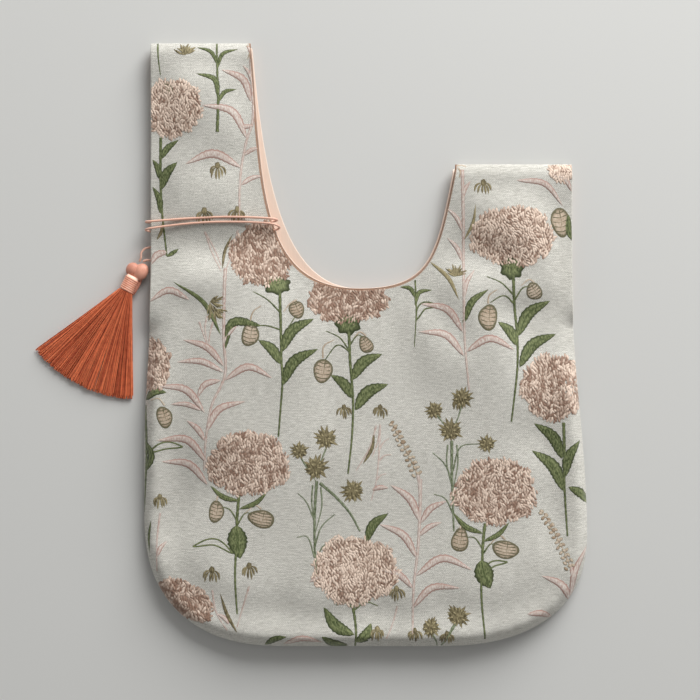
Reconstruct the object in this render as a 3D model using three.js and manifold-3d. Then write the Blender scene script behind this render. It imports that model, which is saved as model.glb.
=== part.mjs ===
// A fabric wrist bag lying on its back, in millimetres: +Y towards the long handle, +Z up.
// Two panels of figured cloth are sewn along the sides and the bottom and lined with satin.
// Each panel runs up into a long handle at -X and a short one at +X, joined at their tops.
// A tassel hangs by its cord from the front strap of the long handle.
// The origin is the middle of the bag's own footprint, on the surface that it lies on.
import * as THREE from "three";
import Module from "manifold-3d";
import { mergeVertices } from "three/addons/utils/BufferGeometryUtils.js";

const wasm = await Module();
wasm.setup();

// Outline of the bag
const bodyWidth = 253;
const bagHeight = 344;
const neckDepth = 140.5; // from the long handle's top down to the neckline's lowest point
const neckLowFromLeft = 123; // the neckline's lowest point, from the body's left side
const shortHandleDrop = 69; // the short handle's top is this far below the long one's
const longHandleWidth = 56.5; // at the top
const shortHandleWidth = 66;
const backNeckPeek = 6.4; // how far the back's neckline stands out beside the long handle
const seamEndBelowNeck = 19; // the side seams stop this far below the neckline
const longSide = {
  sign: -1,
  inset: 4, // the handle's outer edge stands in this far from the body's side
  widestY: -60,
  cornerWide: 82,
  cornerHigh: 77,
};
const shortSide = {
  sign: 1,
  inset: 9,
  widestY: -108,
  cornerWide: 88,
  cornerHigh: 66,
};
const cornerPower = 2.45; // the bottom corners are quarters of a superellipse

// Cloth
const panelThick = 1.2; // figured cloth with its fused backing
const liningThick = 0.5;
const layerGap = 0.45;
const seamGap = 0.3; // between the two panels' rims
const liningInset = 3; // the lining ends this far inside a sewn edge
const liningOpenInset = 0.6; // and this far inside an open one
const liningRoll = 1.3; // at the neckline it rolls out past the cloth

// Heights over the surface that the bag lies on
const strapRoom = 5; // between the two linings, inside the handles
const bodyRoom = 9; // and inside the body
const sideSeamZ = 3.2;
const topSeamZ = 4.5;
const frontBends = [0, 4, 9, 15, 22]; // the front bends along lines this far from a seam
const backBends = [0, 6, 14];
const topBends = [0, 4, 9];
const bendPower = 2.2; // steepest at the seam

// Cord and tassel
const cordDiameter = 1.3;
const cordBend = 2.6; // the radius at which it goes round the strap's edges
const cordClear = 0.3;
const tasselTurn = THREE.MathUtils.degToRad(-27); // the skirt points down and to the left
const bindingLength = 9;
const bindingRadius = 4.3;
const bindingCoils = 6;
const bindingFlat = 0.88; // the tassel is a little flattened where it lies
const skirtLength = 61;
const fanHalfAngle = THREE.MathUtils.degToRad(27.5);

// Woven figures
const figureThick = 0.5;
const figureGap = 0.4;
const figureMargin = 1; // figures stop this far inside the panel's edge
const figureStep = 8; // they follow the panel's bends in steps of this length
const stemWidth = 1.5;
const sprigWidth = 1.1;

const halfWidth = bodyWidth / 2;
const topY = bagHeight / 2;
const bottomY = -bagHeight / 2;
const neckY = topY - neckDepth;
const neckLowX = neckLowFromLeft - halfWidth;
const shortTopY = topY - shortHandleDrop;
const seamTopY = neckY - seamEndBelowNeck;
const handleY = neckY + 9; // the handles' outer edges run straight from here up
const shoulderY = neckY + 24; // the handles' patches begin here
const longInnerX = longHandleWidth + longSide.inset - halfWidth;
const shortInnerX = halfWidth - shortSide.inset - shortHandleWidth;

const mix = THREE.MathUtils.lerp;
const smooth = (x, low, high) => THREE.MathUtils.smoothstep(x, low, high);
const point = (x, y) => new THREE.Vector2(x, y);

// ---- outline ----

// The x of a side of the outline at height y, above its bottom corner.
function sideX(side, y, margin = 0) {
  const shape = side.inset * smooth(y, side.widestY, handleY);
  return side.sign * (halfWidth - shape - margin);
}

// From the middle of a bottom corner up to the handle's base.
function sidePath(side, margin = 0) {
  const wide = side.cornerWide - margin;
  const high = side.cornerHigh - margin;
  const centreY = bottomY + side.cornerHigh;
  const centreX = side.sign * (halfWidth - side.cornerWide);
  const path = [];
  for (let i = 0; i <= 12; i++) {
    const turn = (Math.PI / 4) * (1 - i / 12);
    const x = centreX + side.sign * wide * Math.cos(turn) ** (2 / cornerPower);
    path.push(point(x, centreY - high * Math.sin(turn) ** (2 / cornerPower)));
  }
  for (let i = 1; i <= 16; i++) {
    const y = mix(centreY, shoulderY, i / 16);
    path.push(point(sideX(side, y, margin), y));
  }
  return path;
}

// From the middle of the left bottom corner to the middle of the right one.
function bottomPath(margin = 0) {
  const half = (side) => {
    const path = [];
    for (let i = 0; i <= 12; i++) {
      const turn = (Math.PI / 4) * (1 + i / 12);
      const wide = side.cornerWide - margin;
      const high = side.cornerHigh - margin;
      const across = wide * Math.max(Math.cos(turn), 0) ** (2 / cornerPower);
      const x = side.sign * (halfWidth - side.cornerWide + across);
      const down = high * Math.sin(turn) ** (2 / cornerPower);
      path.push(point(x, bottomY + side.cornerHigh - down));
    }
    return path;
  };
  return [...half(longSide), ...half(shortSide).reverse()];
}

// The neckline's two halves. peek moves the long handle's half over to the right.
function neckCurves(peek = 0, margin = 0) {
  const low = point(neckLowX, neckY - margin);
  const leftX = longInnerX - margin;
  const rightX = shortInnerX + margin;
  const leftRun = low.x - leftX;
  const rightRun = rightX - low.x;
  const rise = shortTopY - low.y;
  return {
    long: new THREE.CubicBezierCurve(
      point(leftX, topY),
      point(leftX + 0.105 * leftRun + 0.6 * peek, low.y + 0.43 * neckDepth),
      point(leftX + 0.054 * leftRun + 2 * peek, low.y),
      low,
    ),
    short: new THREE.CubicBezierCurve(
      low,
      point(low.x + 0.764 * rightRun, low.y),
      point(low.x + 0.812 * rightRun, low.y + 0.27 * rise),
      point(rightX, shortTopY),
    ),
  };
}

// Where a neckline curve, steadily falling or rising, has height y.
function shareAtHeight(curve, y) {
  let low = 0;
  let high = 1;
  const rising = curve.v3.y > curve.v0.y;
  for (let i = 0; i < 40; i++) {
    const middle = (low + high) / 2;
    if (curve.getPoint(middle).y > y === rising) high = middle;
    else low = middle;
  }
  return (low + high) / 2;
}

// Points at given shares of a polyline's length.
function spread(path, shares) {
  const run = [0];
  for (let i = 1; i < path.length; i++)
    run.push(run[i - 1] + path[i].distanceTo(path[i - 1]));
  const total = run.at(-1);
  return shares.map((share) => {
    let i = 1;
    while (i < path.length - 1 && run[i] < share * total) i++;
    const part = (share * total - run[i - 1]) / (run[i] - run[i - 1]);
    return path[i - 1].clone().lerp(path[i], part);
  });
}

// The bends beside an edge, then even steps up to the width.
function stopsUpTo(width, bends, step) {
  const rest = Math.max(1, Math.round((width - bends.at(-1)) / step));
  const stops = [...bends];
  for (let i = 1; i <= rest; i++)
    stops.push(mix(bends.at(-1), width, i / rest));
  return stops.map((s) => s / width);
}

// The flat layout of one cloth: points, and triangles that face up.
function layout(peek, bends, step) {
  const neck = neckCurves(peek);
  const longShare = shareAtHeight(neck.long, shoulderY);
  const shortShare = shareAtHeight(neck.short, shoulderY);
  const neckLine = [];
  for (let i = 0; i <= 24; i++)
    neckLine.push(neck.long.getPoint(mix(longShare, 1, i / 24)));
  for (let i = 1; i <= 24; i++)
    neckLine.push(neck.short.getPoint(mix(0, shortShare, i / 24)));

  const longBase = point(sideX(longSide, shoulderY), shoulderY);
  const shortBase = point(sideX(shortSide, shoulderY), shoulderY);
  const longWidth = neckLine[0].x - longBase.x;
  const neckWidth = neckLine.at(-1).x - neckLine[0].x;
  const shortWidth = shortBase.x - neckLine.at(-1).x;
  const longStops = stopsUpTo(longWidth, bends, step);
  const shortStops = stopsUpTo(shortWidth, bends, step)
    .map((s) => 1 - s)
    .reverse();
  const neckSteps = Math.round((neckWidth * 1.5) / step);
  const neckStops = [];
  for (let i = 1; i < neckSteps; i++) neckStops.push(i / neckSteps);

  // Columns as shares of the body's width, and the body's upper edge.
  const whole = longWidth + neckWidth + shortWidth;
  const columns = [
    ...longStops.map((s) => (s * longWidth) / whole),
    ...neckStops.map((s) => (longWidth + s * neckWidth) / whole),
    ...shortStops.map((s) => (longWidth + neckWidth + s * shortWidth) / whole),
  ];
  const upper = [
    ...longStops.map((s) => longBase.clone().lerp(neckLine[0], s)),
    ...spread(neckLine, neckStops),
    ...shortStops.map((s) => neckLine.at(-1).clone().lerp(shortBase, s)),
  ];
  const rows = stopsUpTo(shoulderY - bottomY, bends, step);
  const lower = spread(bottomPath(), columns);
  const left = spread(sidePath(longSide), rows);
  const right = spread(sidePath(shortSide), rows);

  const points = [];
  const triangles = [];
  const add = (p) => points.push(p) - 1;
  const join = (below, above) => {
    for (let i = 0; i + 1 < below.length; i++) {
      triangles.push([below[i], below[i + 1], above[i + 1]]);
      triangles.push([below[i], above[i + 1], above[i]]);
    }
  };

  // The body is a patch stretched between its four edges.
  let last = null;
  rows.forEach((t, r) => {
    const row = columns.map((s, c) => {
      const at = (axis) => {
        const across = mix(lower[c][axis], upper[c][axis], t);
        const along = mix(left[r][axis], right[r][axis], s);
        const base = mix(lower[0][axis], lower.at(-1)[axis], s);
        const brow = mix(upper[0][axis], upper.at(-1)[axis], s);
        return across + along - mix(base, brow, t);
      };
      return add(point(at("x"), at("y")));
    });
    if (last) join(last, row);
    last = row;
  });

  // The handles run on up from it, each row between its outer and inner edge.
  const handle = (side, curve, top, stops, base) => {
    const length = top - shoulderY;
    const ends = stopsUpTo(length, topBends, step);
    let below = base;
    for (const share of ends.map((s) => 1 - s).reverse().slice(1)) {
      const y = shoulderY + share * length;
      const inner = curve.getPoint(shareAtHeight(curve, y));
      const outer = point(sideX(side, y), y);
      const [from, to] = side.sign < 0 ? [outer, inner] : [inner, outer];
      const row = stops.map((s) => add(from.clone().lerp(to, s)));
      join(below, row);
      below = row;
    }
  };
  handle(longSide, neck.long, topY, longStops, last.slice(0, longStops.length));
  handle(
    shortSide,
    neck.short,
    shortTopY,
    shortStops,
    last.slice(-shortStops.length),
  );
  return { points, triangles };
}

// The edge of a flat layout, as pairs of points with the cloth on their left.
function rimOf(triangles) {
  const rim = new Map();
  for (const [a, b, c] of triangles)
    for (const [from, to] of [[a, b], [b, c], [c, a]])
      if (!rim.delete(to + "," + from)) rim.set(from + "," + to, [from, to]);
  return [...rim.values()];
}

// ---- heights ----

// The sewn side and bottom edges, from one seam end round to the other.
const sideSeam = [
  ...sidePath(longSide).reverse(),
  ...bottomPath().slice(1, -1),
  ...sidePath(shortSide),
].filter((p) => p.y <= seamTopY);
const longTopSeam = [
  point(sideX(longSide, topY), topY),
  point(longInnerX, topY),
];
const shortTopSeam = [
  point(shortInnerX, shortTopY),
  point(sideX(shortSide, shortTopY), shortTopY),
];

function nearestOn(seam, at) {
  let nearest = seam[0];
  for (let i = 1; i < seam.length; i++) {
    const run = seam[i].clone().sub(seam[i - 1]);
    const share = at.clone().sub(seam[i - 1]).dot(run) / run.lengthSq();
    const foot = seam[i - 1]
      .clone()
      .addScaledVector(run, THREE.MathUtils.clamp(share, 0, 1));
    if (foot.distanceTo(at) < nearest.distanceTo(at)) nearest = foot;
  }
  return nearest;
}

function distanceTo(seam, x, y) {
  const at = point(x, y);
  return nearestOn(seam, at).distanceTo(at);
}

// The same layout with its rim tucked in for the lining, or rolled out at the neckline.
// Points near the seam give way to the tucked rim.
function tucked({ points, triangles }) {
  const reach = frontBends[2];
  const moved = points.map((p) => {
    const inward = p.clone().sub(nearestOn(sideSeam, p));
    const distance = inward.length();
    if (distance === 0 || distance > reach) return p.clone();
    return p.clone().add(inward.setLength(liningInset * (1 - distance / reach)));
  });
  const before = new Map();
  const after = new Map();
  for (const [from, to] of rimOf(triangles)) {
    after.set(from, to);
    before.set(to, from);
  }
  for (const [i, next] of after) {
    const { x, y } = points[i];
    const along = points[next].clone().sub(points[before.get(i)]).normalize();
    const atTop = y > (x > 0 ? shortTopY : topY) - 0.01;
    const atNeck = y > neckY - 1 && Math.abs(x) < halfWidth - 20;
    let tuck = mix(liningInset, liningOpenInset, smooth(y, seamTopY, handleY));
    if (atNeck) tuck = -liningRoll;
    if (atTop) tuck = liningInset;
    const inward = point(-along.y, along.x).multiplyScalar(tuck);
    moved[i].copy(points[i]).add(inward);
  }
  return { points: moved, triangles };
}

// 0 at a seam, 1 from the last bend onwards.
function rise(distance, bends) {
  const at = (bend) => 1 - (1 - bend / bends.at(-1)) ** bendPower;
  const next = bends.findIndex((bend) => bend > distance);
  if (next < 0) return 1;
  const share = (distance - bends[next - 1]) / (bends[next] - bends[next - 1]);
  return mix(at(bends[next - 1]), at(bends[next]), share);
}

// Underside of the front panel, and upper side of the back one.
function frontUnder(x, y) {
  const layers = panelThick + 2 * (layerGap + liningThick);
  const room = mix(bodyRoom, strapRoom, smooth(y, neckY - 50, neckY + 30));
  const full = layers + room;
  const side = rise(distanceTo(sideSeam, x, y), frontBends);
  const tops = Math.min(
    distanceTo(longTopSeam, x, y),
    distanceTo(shortTopSeam, x, y),
  );
  return Math.min(
    mix(sideSeamZ + seamGap / 2, full, side),
    mix(topSeamZ + seamGap / 2, full, rise(tops, topBends)),
  );
}

function backOver(x, y) {
  const side = rise(distanceTo(sideSeam, x, y), backBends);
  const tops = Math.min(
    distanceTo(longTopSeam, x, y),
    distanceTo(shortTopSeam, x, y),
  );
  return Math.max(
    mix(sideSeamZ - seamGap / 2, panelThick, side),
    mix(topSeamZ - seamGap / 2, panelThick, rise(tops, topBends)),
  );
}

const frontOver = (x, y) => frontUnder(x, y) + panelThick;

// A closed sheet over a flat layout, between two heights.
function sheet({ points, triangles }, over, under) {
  const positions = [];
  const put = (i, height) => {
    const { x, y } = points[i];
    positions.push(x, y, height(x, y));
  };
  for (const [a, b, c] of triangles) {
    [a, b, c].forEach((i) => put(i, over));
    [a, c, b].forEach((i) => put(i, under));
  }
  for (const [from, to] of rimOf(triangles)) {
    put(from, over);
    put(from, under);
    put(to, under);
    put(from, over);
    put(to, under);
    put(to, over);
  }
  const geometry = new THREE.BufferGeometry();
  geometry.setAttribute(
    "position",
    new THREE.Float32BufferAttribute(positions, 3),
  );
  geometry.computeVertexNormals();
  return geometry;
}

// ---- booleans ----

function solid(geometry) {
  const bare = geometry.clone();
  bare.deleteAttribute("normal");
  bare.deleteAttribute("uv");
  const merged = mergeVertices(bare, 1e-4);
  return new wasm.Manifold(
    new wasm.Mesh({
      numProp: 3,
      vertProperties: merged.attributes.position.array,
      triVerts: new Uint32Array(merged.index.array),
    }),
  );
}

function geometryOf(made) {
  const { vertProperties, triVerts } = made.getMesh();
  const geometry = new THREE.BufferGeometry();
  geometry.setAttribute(
    "position",
    new THREE.Float32BufferAttribute(vertProperties, 3),
  );
  geometry.setIndex([...triVerts]);
  const flat = geometry.toNonIndexed();
  flat.computeVertexNormals();
  return flat;
}

// ---- finishes ----

const cloth = (color, roughness = 0.9) =>
  new THREE.MeshStandardMaterial({ color, roughness, metalness: 0 });
const groundCloth = cloth(0xdad8d0);
const satin = cloth(0xf0cdb6, 0.45);
const cordSatin = cloth(0xe99a80, 0.5);
const threadCoral = cloth(0xc0573a, 0.6);
const threadPeach = cloth(0xf0ae94, 0.4);
const flowerBeige = cloth(0xbfa18a);
const leafGreen = cloth(0x6d7d48);
const seedOlive = cloth(0x857a3c);
const sprigPink = cloth(0xd3ab9f);

const bag = new THREE.Group();
function part(name, geometry, material, parent = bag) {
  const mesh = new THREE.Mesh(geometry, material);
  mesh.name = name;
  parent.add(mesh);
  return mesh;
}

// ---- the bag ----

const frontLayout = layout(0, frontBends, 16);
const backLayout = layout(backNeckPeek, backBends, 19);

const backLiningUnder = (x, y) => backOver(x, y) + layerGap;
const frontLiningOver = (x, y) => frontUnder(x, y) - layerGap;

part("front_panel", sheet(frontLayout, frontOver, frontUnder), groundCloth);
part(
  "back_panel",
  sheet(backLayout, backOver, (x, y) => backOver(x, y) - panelThick),
  groundCloth,
);
part(
  "front_lining",
  sheet(
    tucked(frontLayout),
    frontLiningOver,
    (x, y) => frontLiningOver(x, y) - liningThick,
  ),
  satin,
);
part(
  "back_lining",
  sheet(
    tucked(backLayout),
    (x, y) => backLiningUnder(x, y) + liningThick,
    backLiningUnder,
  ),
  satin,
);

// ---- woven figures, thick floats that stand on the front panel ----

const neckFront = neckCurves();
// The figures are drawn for a bag of 253 by 344 and grow and shrink with it.
const weave = Math.min(bodyWidth / 253, bagHeight / 344);

// The front panel's outline, kept figureMargin inside its edge.
function figureOutline() {
  const neck = neckCurves(0, figureMargin);
  const shortTop = shortTopY - figureMargin;
  const longTop = topY - figureMargin;
  const outline = [
    ...bottomPath(figureMargin),
    ...sidePath(shortSide, figureMargin).slice(1),
    point(sideX(shortSide, shortTopY, figureMargin), shortTop),
  ];
  const inner = [];
  for (let i = 0; i <= 24; i++) inner.push(neck.long.getPoint(i / 24));
  for (let i = 1; i <= 24; i++) inner.push(neck.short.getPoint(i / 24));
  for (const p of inner.reverse())
    outline.push(point(p.x, Math.min(p.y, p.x > neckLowX ? shortTop : longTop)));
  outline.push(point(sideX(longSide, topY, figureMargin), longTop));
  outline.push(...sidePath(longSide, figureMargin).reverse().slice(0, -1));
  return outline;
}
const figureEdge = figureOutline();

function insidePanel(x, y) {
  let inside = false;
  for (let i = 0, j = figureEdge.length - 1; i < figureEdge.length; j = i++) {
    const a = figureEdge[i];
    const b = figureEdge[j];
    if (a.y > y === b.y > y) continue;
    if (x < a.x + ((y - a.y) * (b.x - a.x)) / (b.y - a.y)) inside = !inside;
  }
  return inside;
}

// A globe-shaped flower head with a scalloped rim, cut off where the panel ends.
function flowerHead(name, at, halfAcross, halfHigh, rings = 2) {
  const across = halfAcross * weave;
  const high = halfHigh * weave;
  const rays = 16;
  const points = [at];
  for (let ring = 1; ring <= rings; ring++)
    for (let i = 0; i < rays; i++) {
      const turn = (i / rays) * 2 * Math.PI;
      const lobe = i % 2 ? 0.94 : 1.04;
      const toRim = point(
        across * lobe * Math.cos(turn),
        high * lobe * Math.sin(turn),
      );
      let reach = 1;
      while (reach > 0.05) {
        const rim = at.clone().addScaledVector(toRim, reach);
        if (insidePanel(rim.x, rim.y)) break;
        reach -= 0.01;
      }
      points.push(at.clone().addScaledVector(toRim, (reach * ring) / rings));
    }
  const triangles = [];
  for (let i = 0; i < rays; i++) {
    const next = (i + 1) % rays;
    triangles.push([0, 1 + i, 1 + next]);
    for (let ring = 1; ring < rings; ring++) {
      const inner = 1 + (ring - 1) * rays;
      const outer = inner + rays;
      triangles.push([inner + i, outer + i, outer + next]);
      triangles.push([inner + i, outer + next, inner + next]);
    }
  }
  const under = (x, y) => frontOver(x, y) + figureGap;
  const over = (x, y) => {
    const off = point((x - at.x) / across, (y - at.y) / high).length();
    return under(x, y) + figureThick * (1 + 0.6 * Math.max(0, 1 - off));
  };
  part(name, sheet({ points, triangles }, over, under), flowerBeige);
  return point(at.x, at.y - 1.04 * high - stemWidth); // where its stem begins
}

function leafShape(base, tip, width) {
  const run = tip.clone().sub(base);
  const side = point(-run.y, run.x).setLength(width);
  const middle = base.clone().addScaledVector(run, 0.45);
  const shape = new THREE.Shape();
  shape.moveTo(base.x, base.y);
  shape.quadraticCurveTo(middle.x - side.x, middle.y - side.y, tip.x, tip.y);
  shape.quadraticCurveTo(middle.x + side.x, middle.y + side.y, base.x, base.y);
  return shape;
}

// A narrow band along a smooth line through the given points.
function bandShape(line, width) {
  const curve = new THREE.SplineCurve(line);
  const steps = Math.max(2, Math.round(curve.getLength() / 11));
  const right = [];
  const left = [];
  for (let i = 0; i <= steps; i++) {
    const at = curve.getPoint(i / steps);
    const along = curve.getTangent(i / steps);
    const side = point(along.y, -along.x).multiplyScalar(width / 2);
    right.push(at.clone().add(side));
    left.push(at.clone().sub(side));
  }
  return new THREE.Shape([...right, ...left.reverse()]);
}

function starShape(at, radius, spikes) {
  const rim = [];
  for (let i = 0; i < 2 * spikes; i++) {
    const turn = (i / spikes) * Math.PI;
    const reach = i % 2 ? 0.62 * radius : radius;
    rim.push(point(at.x + reach * Math.cos(turn), at.y + reach * Math.sin(turn)));
  }
  return new THREE.Shape(rim);
}

const panelPrism = solid(
  new THREE.ExtrudeGeometry(new THREE.Shape(figureEdge), {
    depth: 4 * figureThick,
    bevelEnabled: false,
  }).translate(0, 0, -figureThick),
);

// Flat shapes joined into one piece, cut to the panel and laid on its curve.
function figure(name, shapes, material) {
  const flat = { depth: figureThick, bevelEnabled: false, curveSegments: 3 };
  let joined = null;
  for (const shape of shapes) {
    const piece = solid(new THREE.ExtrudeGeometry(shape, flat));
    joined = joined ? joined.add(piece) : piece;
  }
  const geometry = geometryOf(
    joined.intersect(panelPrism).refineToLength(figureStep),
  );
  const positions = geometry.attributes.position;
  for (let i = 0; i < positions.count; i++) {
    const x = positions.getX(i);
    const y = positions.getY(i);
    positions.setZ(i, positions.getZ(i) + frontOver(x, y) + figureGap);
  }
  geometry.computeVertexNormals();
  part(name, geometry, material);
}

// A leaf that grows out of a stem: its base lies just past the stem's line.
function leafOn(stem, [share, x, y, width]) {
  const at = new THREE.SplineCurve(stem).getPoint(share);
  const tip = point(at.x + x * weave, at.y + y * weave);
  return leafShape(at.clone().lerp(tip, -0.08), tip, width * weave);
}

function leafyStem(name, stem, leaves) {
  const shapes = leaves.map((leaf) => leafOn(stem, leaf));
  figure(name, [bandShape(stem, stemWidth), ...shapes], leafGreen);
}

function sprig(name, stem, leaves) {
  const shapes = leaves.map((leaf) => leafOn(stem, leaf));
  figure(name, [bandShape(stem, sprigWidth), ...shapes], sprigPink);
}

function seedStem(name, stem, branches) {
  const shapes = [bandShape(stem, stemWidth)];
  for (const [share, x, y, radius] of branches) {
    const base = new THREE.SplineCurve(stem).getPoint(share);
    const tip = point(base.x + x * weave, base.y + y * weave);
    const knee = point(mix(base.x, tip.x, 0.35), mix(base.y, tip.y, 0.7));
    shapes.push(bandShape([base, knee, tip], stemWidth));
    shapes.push(starShape(tip, radius * weave, 9));
  }
  figure(name, shapes, seedOlive);
}

// A line of short runs, each given by how far it goes.
function stemFrom(start, ...runs) {
  const line = [start];
  for (const [x, y] of runs) {
    const last = line.at(-1);
    line.push(point(last.x + x * weave, last.y + y * weave));
  }
  return line;
}

// A place on the panel, as shares of the bag's width and height.
const spot = (across, up) =>
  point(mix(-halfWidth, halfWidth, across), mix(bottomY, topY, up));

flowerHead("flower_head_handle", spot(0.08, 0.89), 14, 17);
flowerHead("flower_head_left", spot(0.035, 0.464), 12, 15, 4);
flowerHead("flower_head_corner", spot(0.11, 0.09), 14, 9, 3);
const shoulderStem = flowerHead("flower_head_shoulder", spot(0.28, 0.64), 16, 15);
const neckStem = flowerHead("flower_head_neck", spot(0.45, 0.566), 22, 13);
const shortStem = flowerHead("flower_head_short", spot(0.83, 0.68), 24, 17);
const rightStem = flowerHead("flower_head_right", spot(0.922, 0.432), 19, 18, 5);
const lowLeftStem = flowerHead("flower_head_low_left", spot(0.237, 0.302), 24, 18);
const lowRightStem = flowerHead("flower_head_low_right", spot(0.79, 0.256), 23, 19);
const bottomStem = flowerHead("flower_head_bottom", spot(0.474, 0.131), 24, 18);

leafyStem(
  "leafy_stem_shoulder",
  stemFrom(shoulderStem, [8, -20], [0, -26], [-2, -31]),
  [
    [0.04, 11, 2, 3],
    [0.43, 13, 12, 5],
    [0.66, 20, 19, 5],
    [0.55, -12, 15, 5],
    [0.16, -17, -13, 4],
  ],
);
leafyStem(
  "leafy_stem_neck",
  stemFrom(neckStem, [1, -22], [0, -26], [-1, -26]),
  [
    [0.04, 13, 2, 3],
    [0.04, -13, 2, 3],
    [0.4, 20, 17, 5],
    [0.58, 20, 16, 5],
    [0.5, -12, 15, 5],
  ],
);
leafyStem(
  "leafy_stem_short",
  stemFrom(shortStem, [2, -22], [0, -26], [-3, -24]),
  [
    [0.04, 13, 2, 3],
    [0.04, -13, 2, 3],
    [0.5, 18, 18, 5],
    [0.75, 17, 16, 5],
    [0.55, -11, 12, 5],
  ],
);
leafyStem(
  "leafy_stem_low_left",
  stemFrom(lowLeftStem, [-1, -25], [0, -24], [1, -14]),
  [
    [0.04, 13, 2, 3],
    [0.5, 10, -10, 7],
    [0.55, -20, 8, 5],
  ],
);
leafyStem(
  "leafy_stem_low_right",
  stemFrom(lowRightStem, [0, -20], [0, -20], [1, -20]),
  [
    [0.04, 13, 2, 3],
    [0.04, -13, 2, 3],
    [0.4, 7, -13, 7],
  ],
);
leafyStem(
  "leafy_stem_right",
  stemFrom(rightStem, [0, -20], [-2, -20], [-6, -22]),
  [
    [0.2, -14, 8, 4],
    [0.38, -17, 15, 5],
    [0.64, -17, 18, 5],
    [0.4, 8, 11, 4],
  ],
);
leafyStem("leafy_stem_bottom", stemFrom(bottomStem, [0, -9], [1, -11]), [
  [0.1, -13, 3, 3],
  [0.6, -17, 10, 4],
  [0.7, 12, 9, 4],
]);

seedStem("seed_stem_left", stemFrom(spot(0.395, 0.289), [-4, -20], [-3, -18]), [
  [0.04, 6, 17, 6.5],
  [0.06, -8, 12, 6],
  [0.02, 0, 2, 7],
]);
seedStem("seed_stem_right", stemFrom(spot(0.692, 0.347), [-2, -22], [-3, -26]), [
  [0.04, 4, 18, 6.5],
  [0.06, -9, 12, 6],
  [0.02, 0, 2, 7],
]);
seedStem("seed_stem_bottom", stemFrom(spot(0.688, 0.041), [-1, -9]), [
  [0.1, 7, 14, 6.5],
  [0.1, -8, 8, 6],
]);

sprig("pink_sprig_handle", stemFrom(spot(0.206, 0.872), [-2, -22], [-3, -22]), [
  [0.4, -20, 4, 3],
  [0.1, -12, 12, 3],
  [0.7, -16, 8, 2.4],
]);
sprig(
  "pink_sprig_left",
  stemFrom(spot(0.146, 0.528), [6, -26], [-9, -24], [4, -12]),
  [
    [0.3, 20, 6, 3],
    [0.6, -17, 10, 3],
    [0.92, -22, 8, 3.4],
    [0.66, 18, 12, 3],
  ],
);
sprig(
  "pink_sprig_neck",
  stemFrom(spot(0.719, 0.656), [1, -28], [0, -30], [4, -26]),
  [
    [0.45, -18, 13, 3],
    [0.66, -22, 14, 3],
  ],
);
sprig(
  "pink_sprig_middle",
  stemFrom(spot(0.628, 0.254), [-3, -28], [-4, -28], [0, -22]),
  [
    [0.3, -17, 17, 3.4],
    [0.34, 12, 8, 3],
    [0.66, 19, 12, 3],
  ],
);

// ---- tassel ----

const tassel = new THREE.Group();
tassel.position.set(-halfWidth - 10.4, neckY - 0.7, 0); // the skirt's root
tassel.rotation.z = tasselTurn;
bag.add(tassel);

// The skirt of loose threads, fanned out flat. Each ridge is a lock of them.
function skirt() {
  const locks = 15;
  const rows = 5;
  const apex = bindingRadius / Math.tan(fanHalfAngle);
  const points = [];
  const triangles = [];
  const columns = 2 * locks + 1;
  const shares = [];
  for (let row = 0; row <= rows; row++)
    for (let i = 0; i < columns; i++) {
      const across = (2 * i) / (columns - 1) - 1;
      const down = row / rows;
      const reach = apex + (skirtLength - layerGap) * down;
      const turn = across * fanHalfAngle;
      points.push(
        point(
          reach * Math.sin(turn),
          apex * Math.cos(turn) - reach * Math.cos(turn) - layerGap,
        ),
      );
      shares.push([across, down, i % 2 ? 0.45 : 0]);
    }
  for (let row = 0; row < rows; row++)
    for (let i = 0; i + 1 < columns; i++) {
      const upper = row * columns + i;
      const lower = upper + columns;
      triangles.push([upper, lower, lower + 1]);
      triangles.push([upper, lower + 1, upper + 1]);
    }
  const thick = ([across, down]) =>
    mix(bindingRadius * bindingFlat, 1.2, down ** 0.6) *
      Math.sqrt(1 - 0.9 * across ** 2) +
    0.15;
  const middle = ([, down]) => mix(bindingRadius * bindingFlat + 0.4, 1.5, down);
  const indexOf = new Map(points.map((p, i) => [p.x + "," + p.y, shares[i]]));
  const shareOf = (x, y) => indexOf.get(x + "," + y);
  const over = (x, y) => {
    const s = shareOf(x, y);
    return middle(s) + thick(s) + s[2];
  };
  const under = (x, y) => {
    const s = shareOf(x, y);
    return Math.max(0, middle(s) - thick(s));
  };
  return sheet({ points, triangles }, over, under);
}

// The thread wound round the neck of the tassel.
function binding() {
  const profile = [point(0, 0)];
  for (let i = 0; i < bindingCoils; i++) {
    const bulge = [0.94, 1, 1, 0.94];
    bulge.forEach((share, k) => {
      const y = ((i + (k + 0.25) / 3.5) / bindingCoils) * bindingLength;
      profile.push(point(bindingRadius * share, y));
    });
  }
  profile.push(point(0, bindingLength));
  const made = new THREE.LatheGeometry(profile, 14);
  made.scale(1, 1, bindingFlat);
  return made;
}

// The folded end of the thread bundle: two lobes either side of the cord.
function tasselHead() {
  const lobe = (radius, x, stretch) =>
    solid(
      new THREE.SphereGeometry(radius, 12, 8)
        .scale(1, stretch, 0.85)
        .translate(x, radius * stretch, 0),
    );
  const seat = new THREE.CylinderGeometry(3.4, 3.9, 3.2, 14);
  seat.scale(1, 1, bindingFlat).translate(0, 1.6, 0);
  return geometryOf(
    solid(seat).add(lobe(3.9, -2.2, 1.05)).add(lobe(4.2, 2.3, 1.15)),
  );
}

const tasselZ = bindingRadius * bindingFlat + 0.4;
part("tassel_skirt", skirt(), threadCoral, tassel);
part("tassel_binding", binding(), threadPeach, tassel).position.z = tasselZ;
part("tassel_head", tasselHead(), threadCoral, tassel).position.set(
  0,
  bindingLength + layerGap,
  tasselZ,
);

// ---- cord: out of the tassel, twice round the front strap, and back ----

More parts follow.
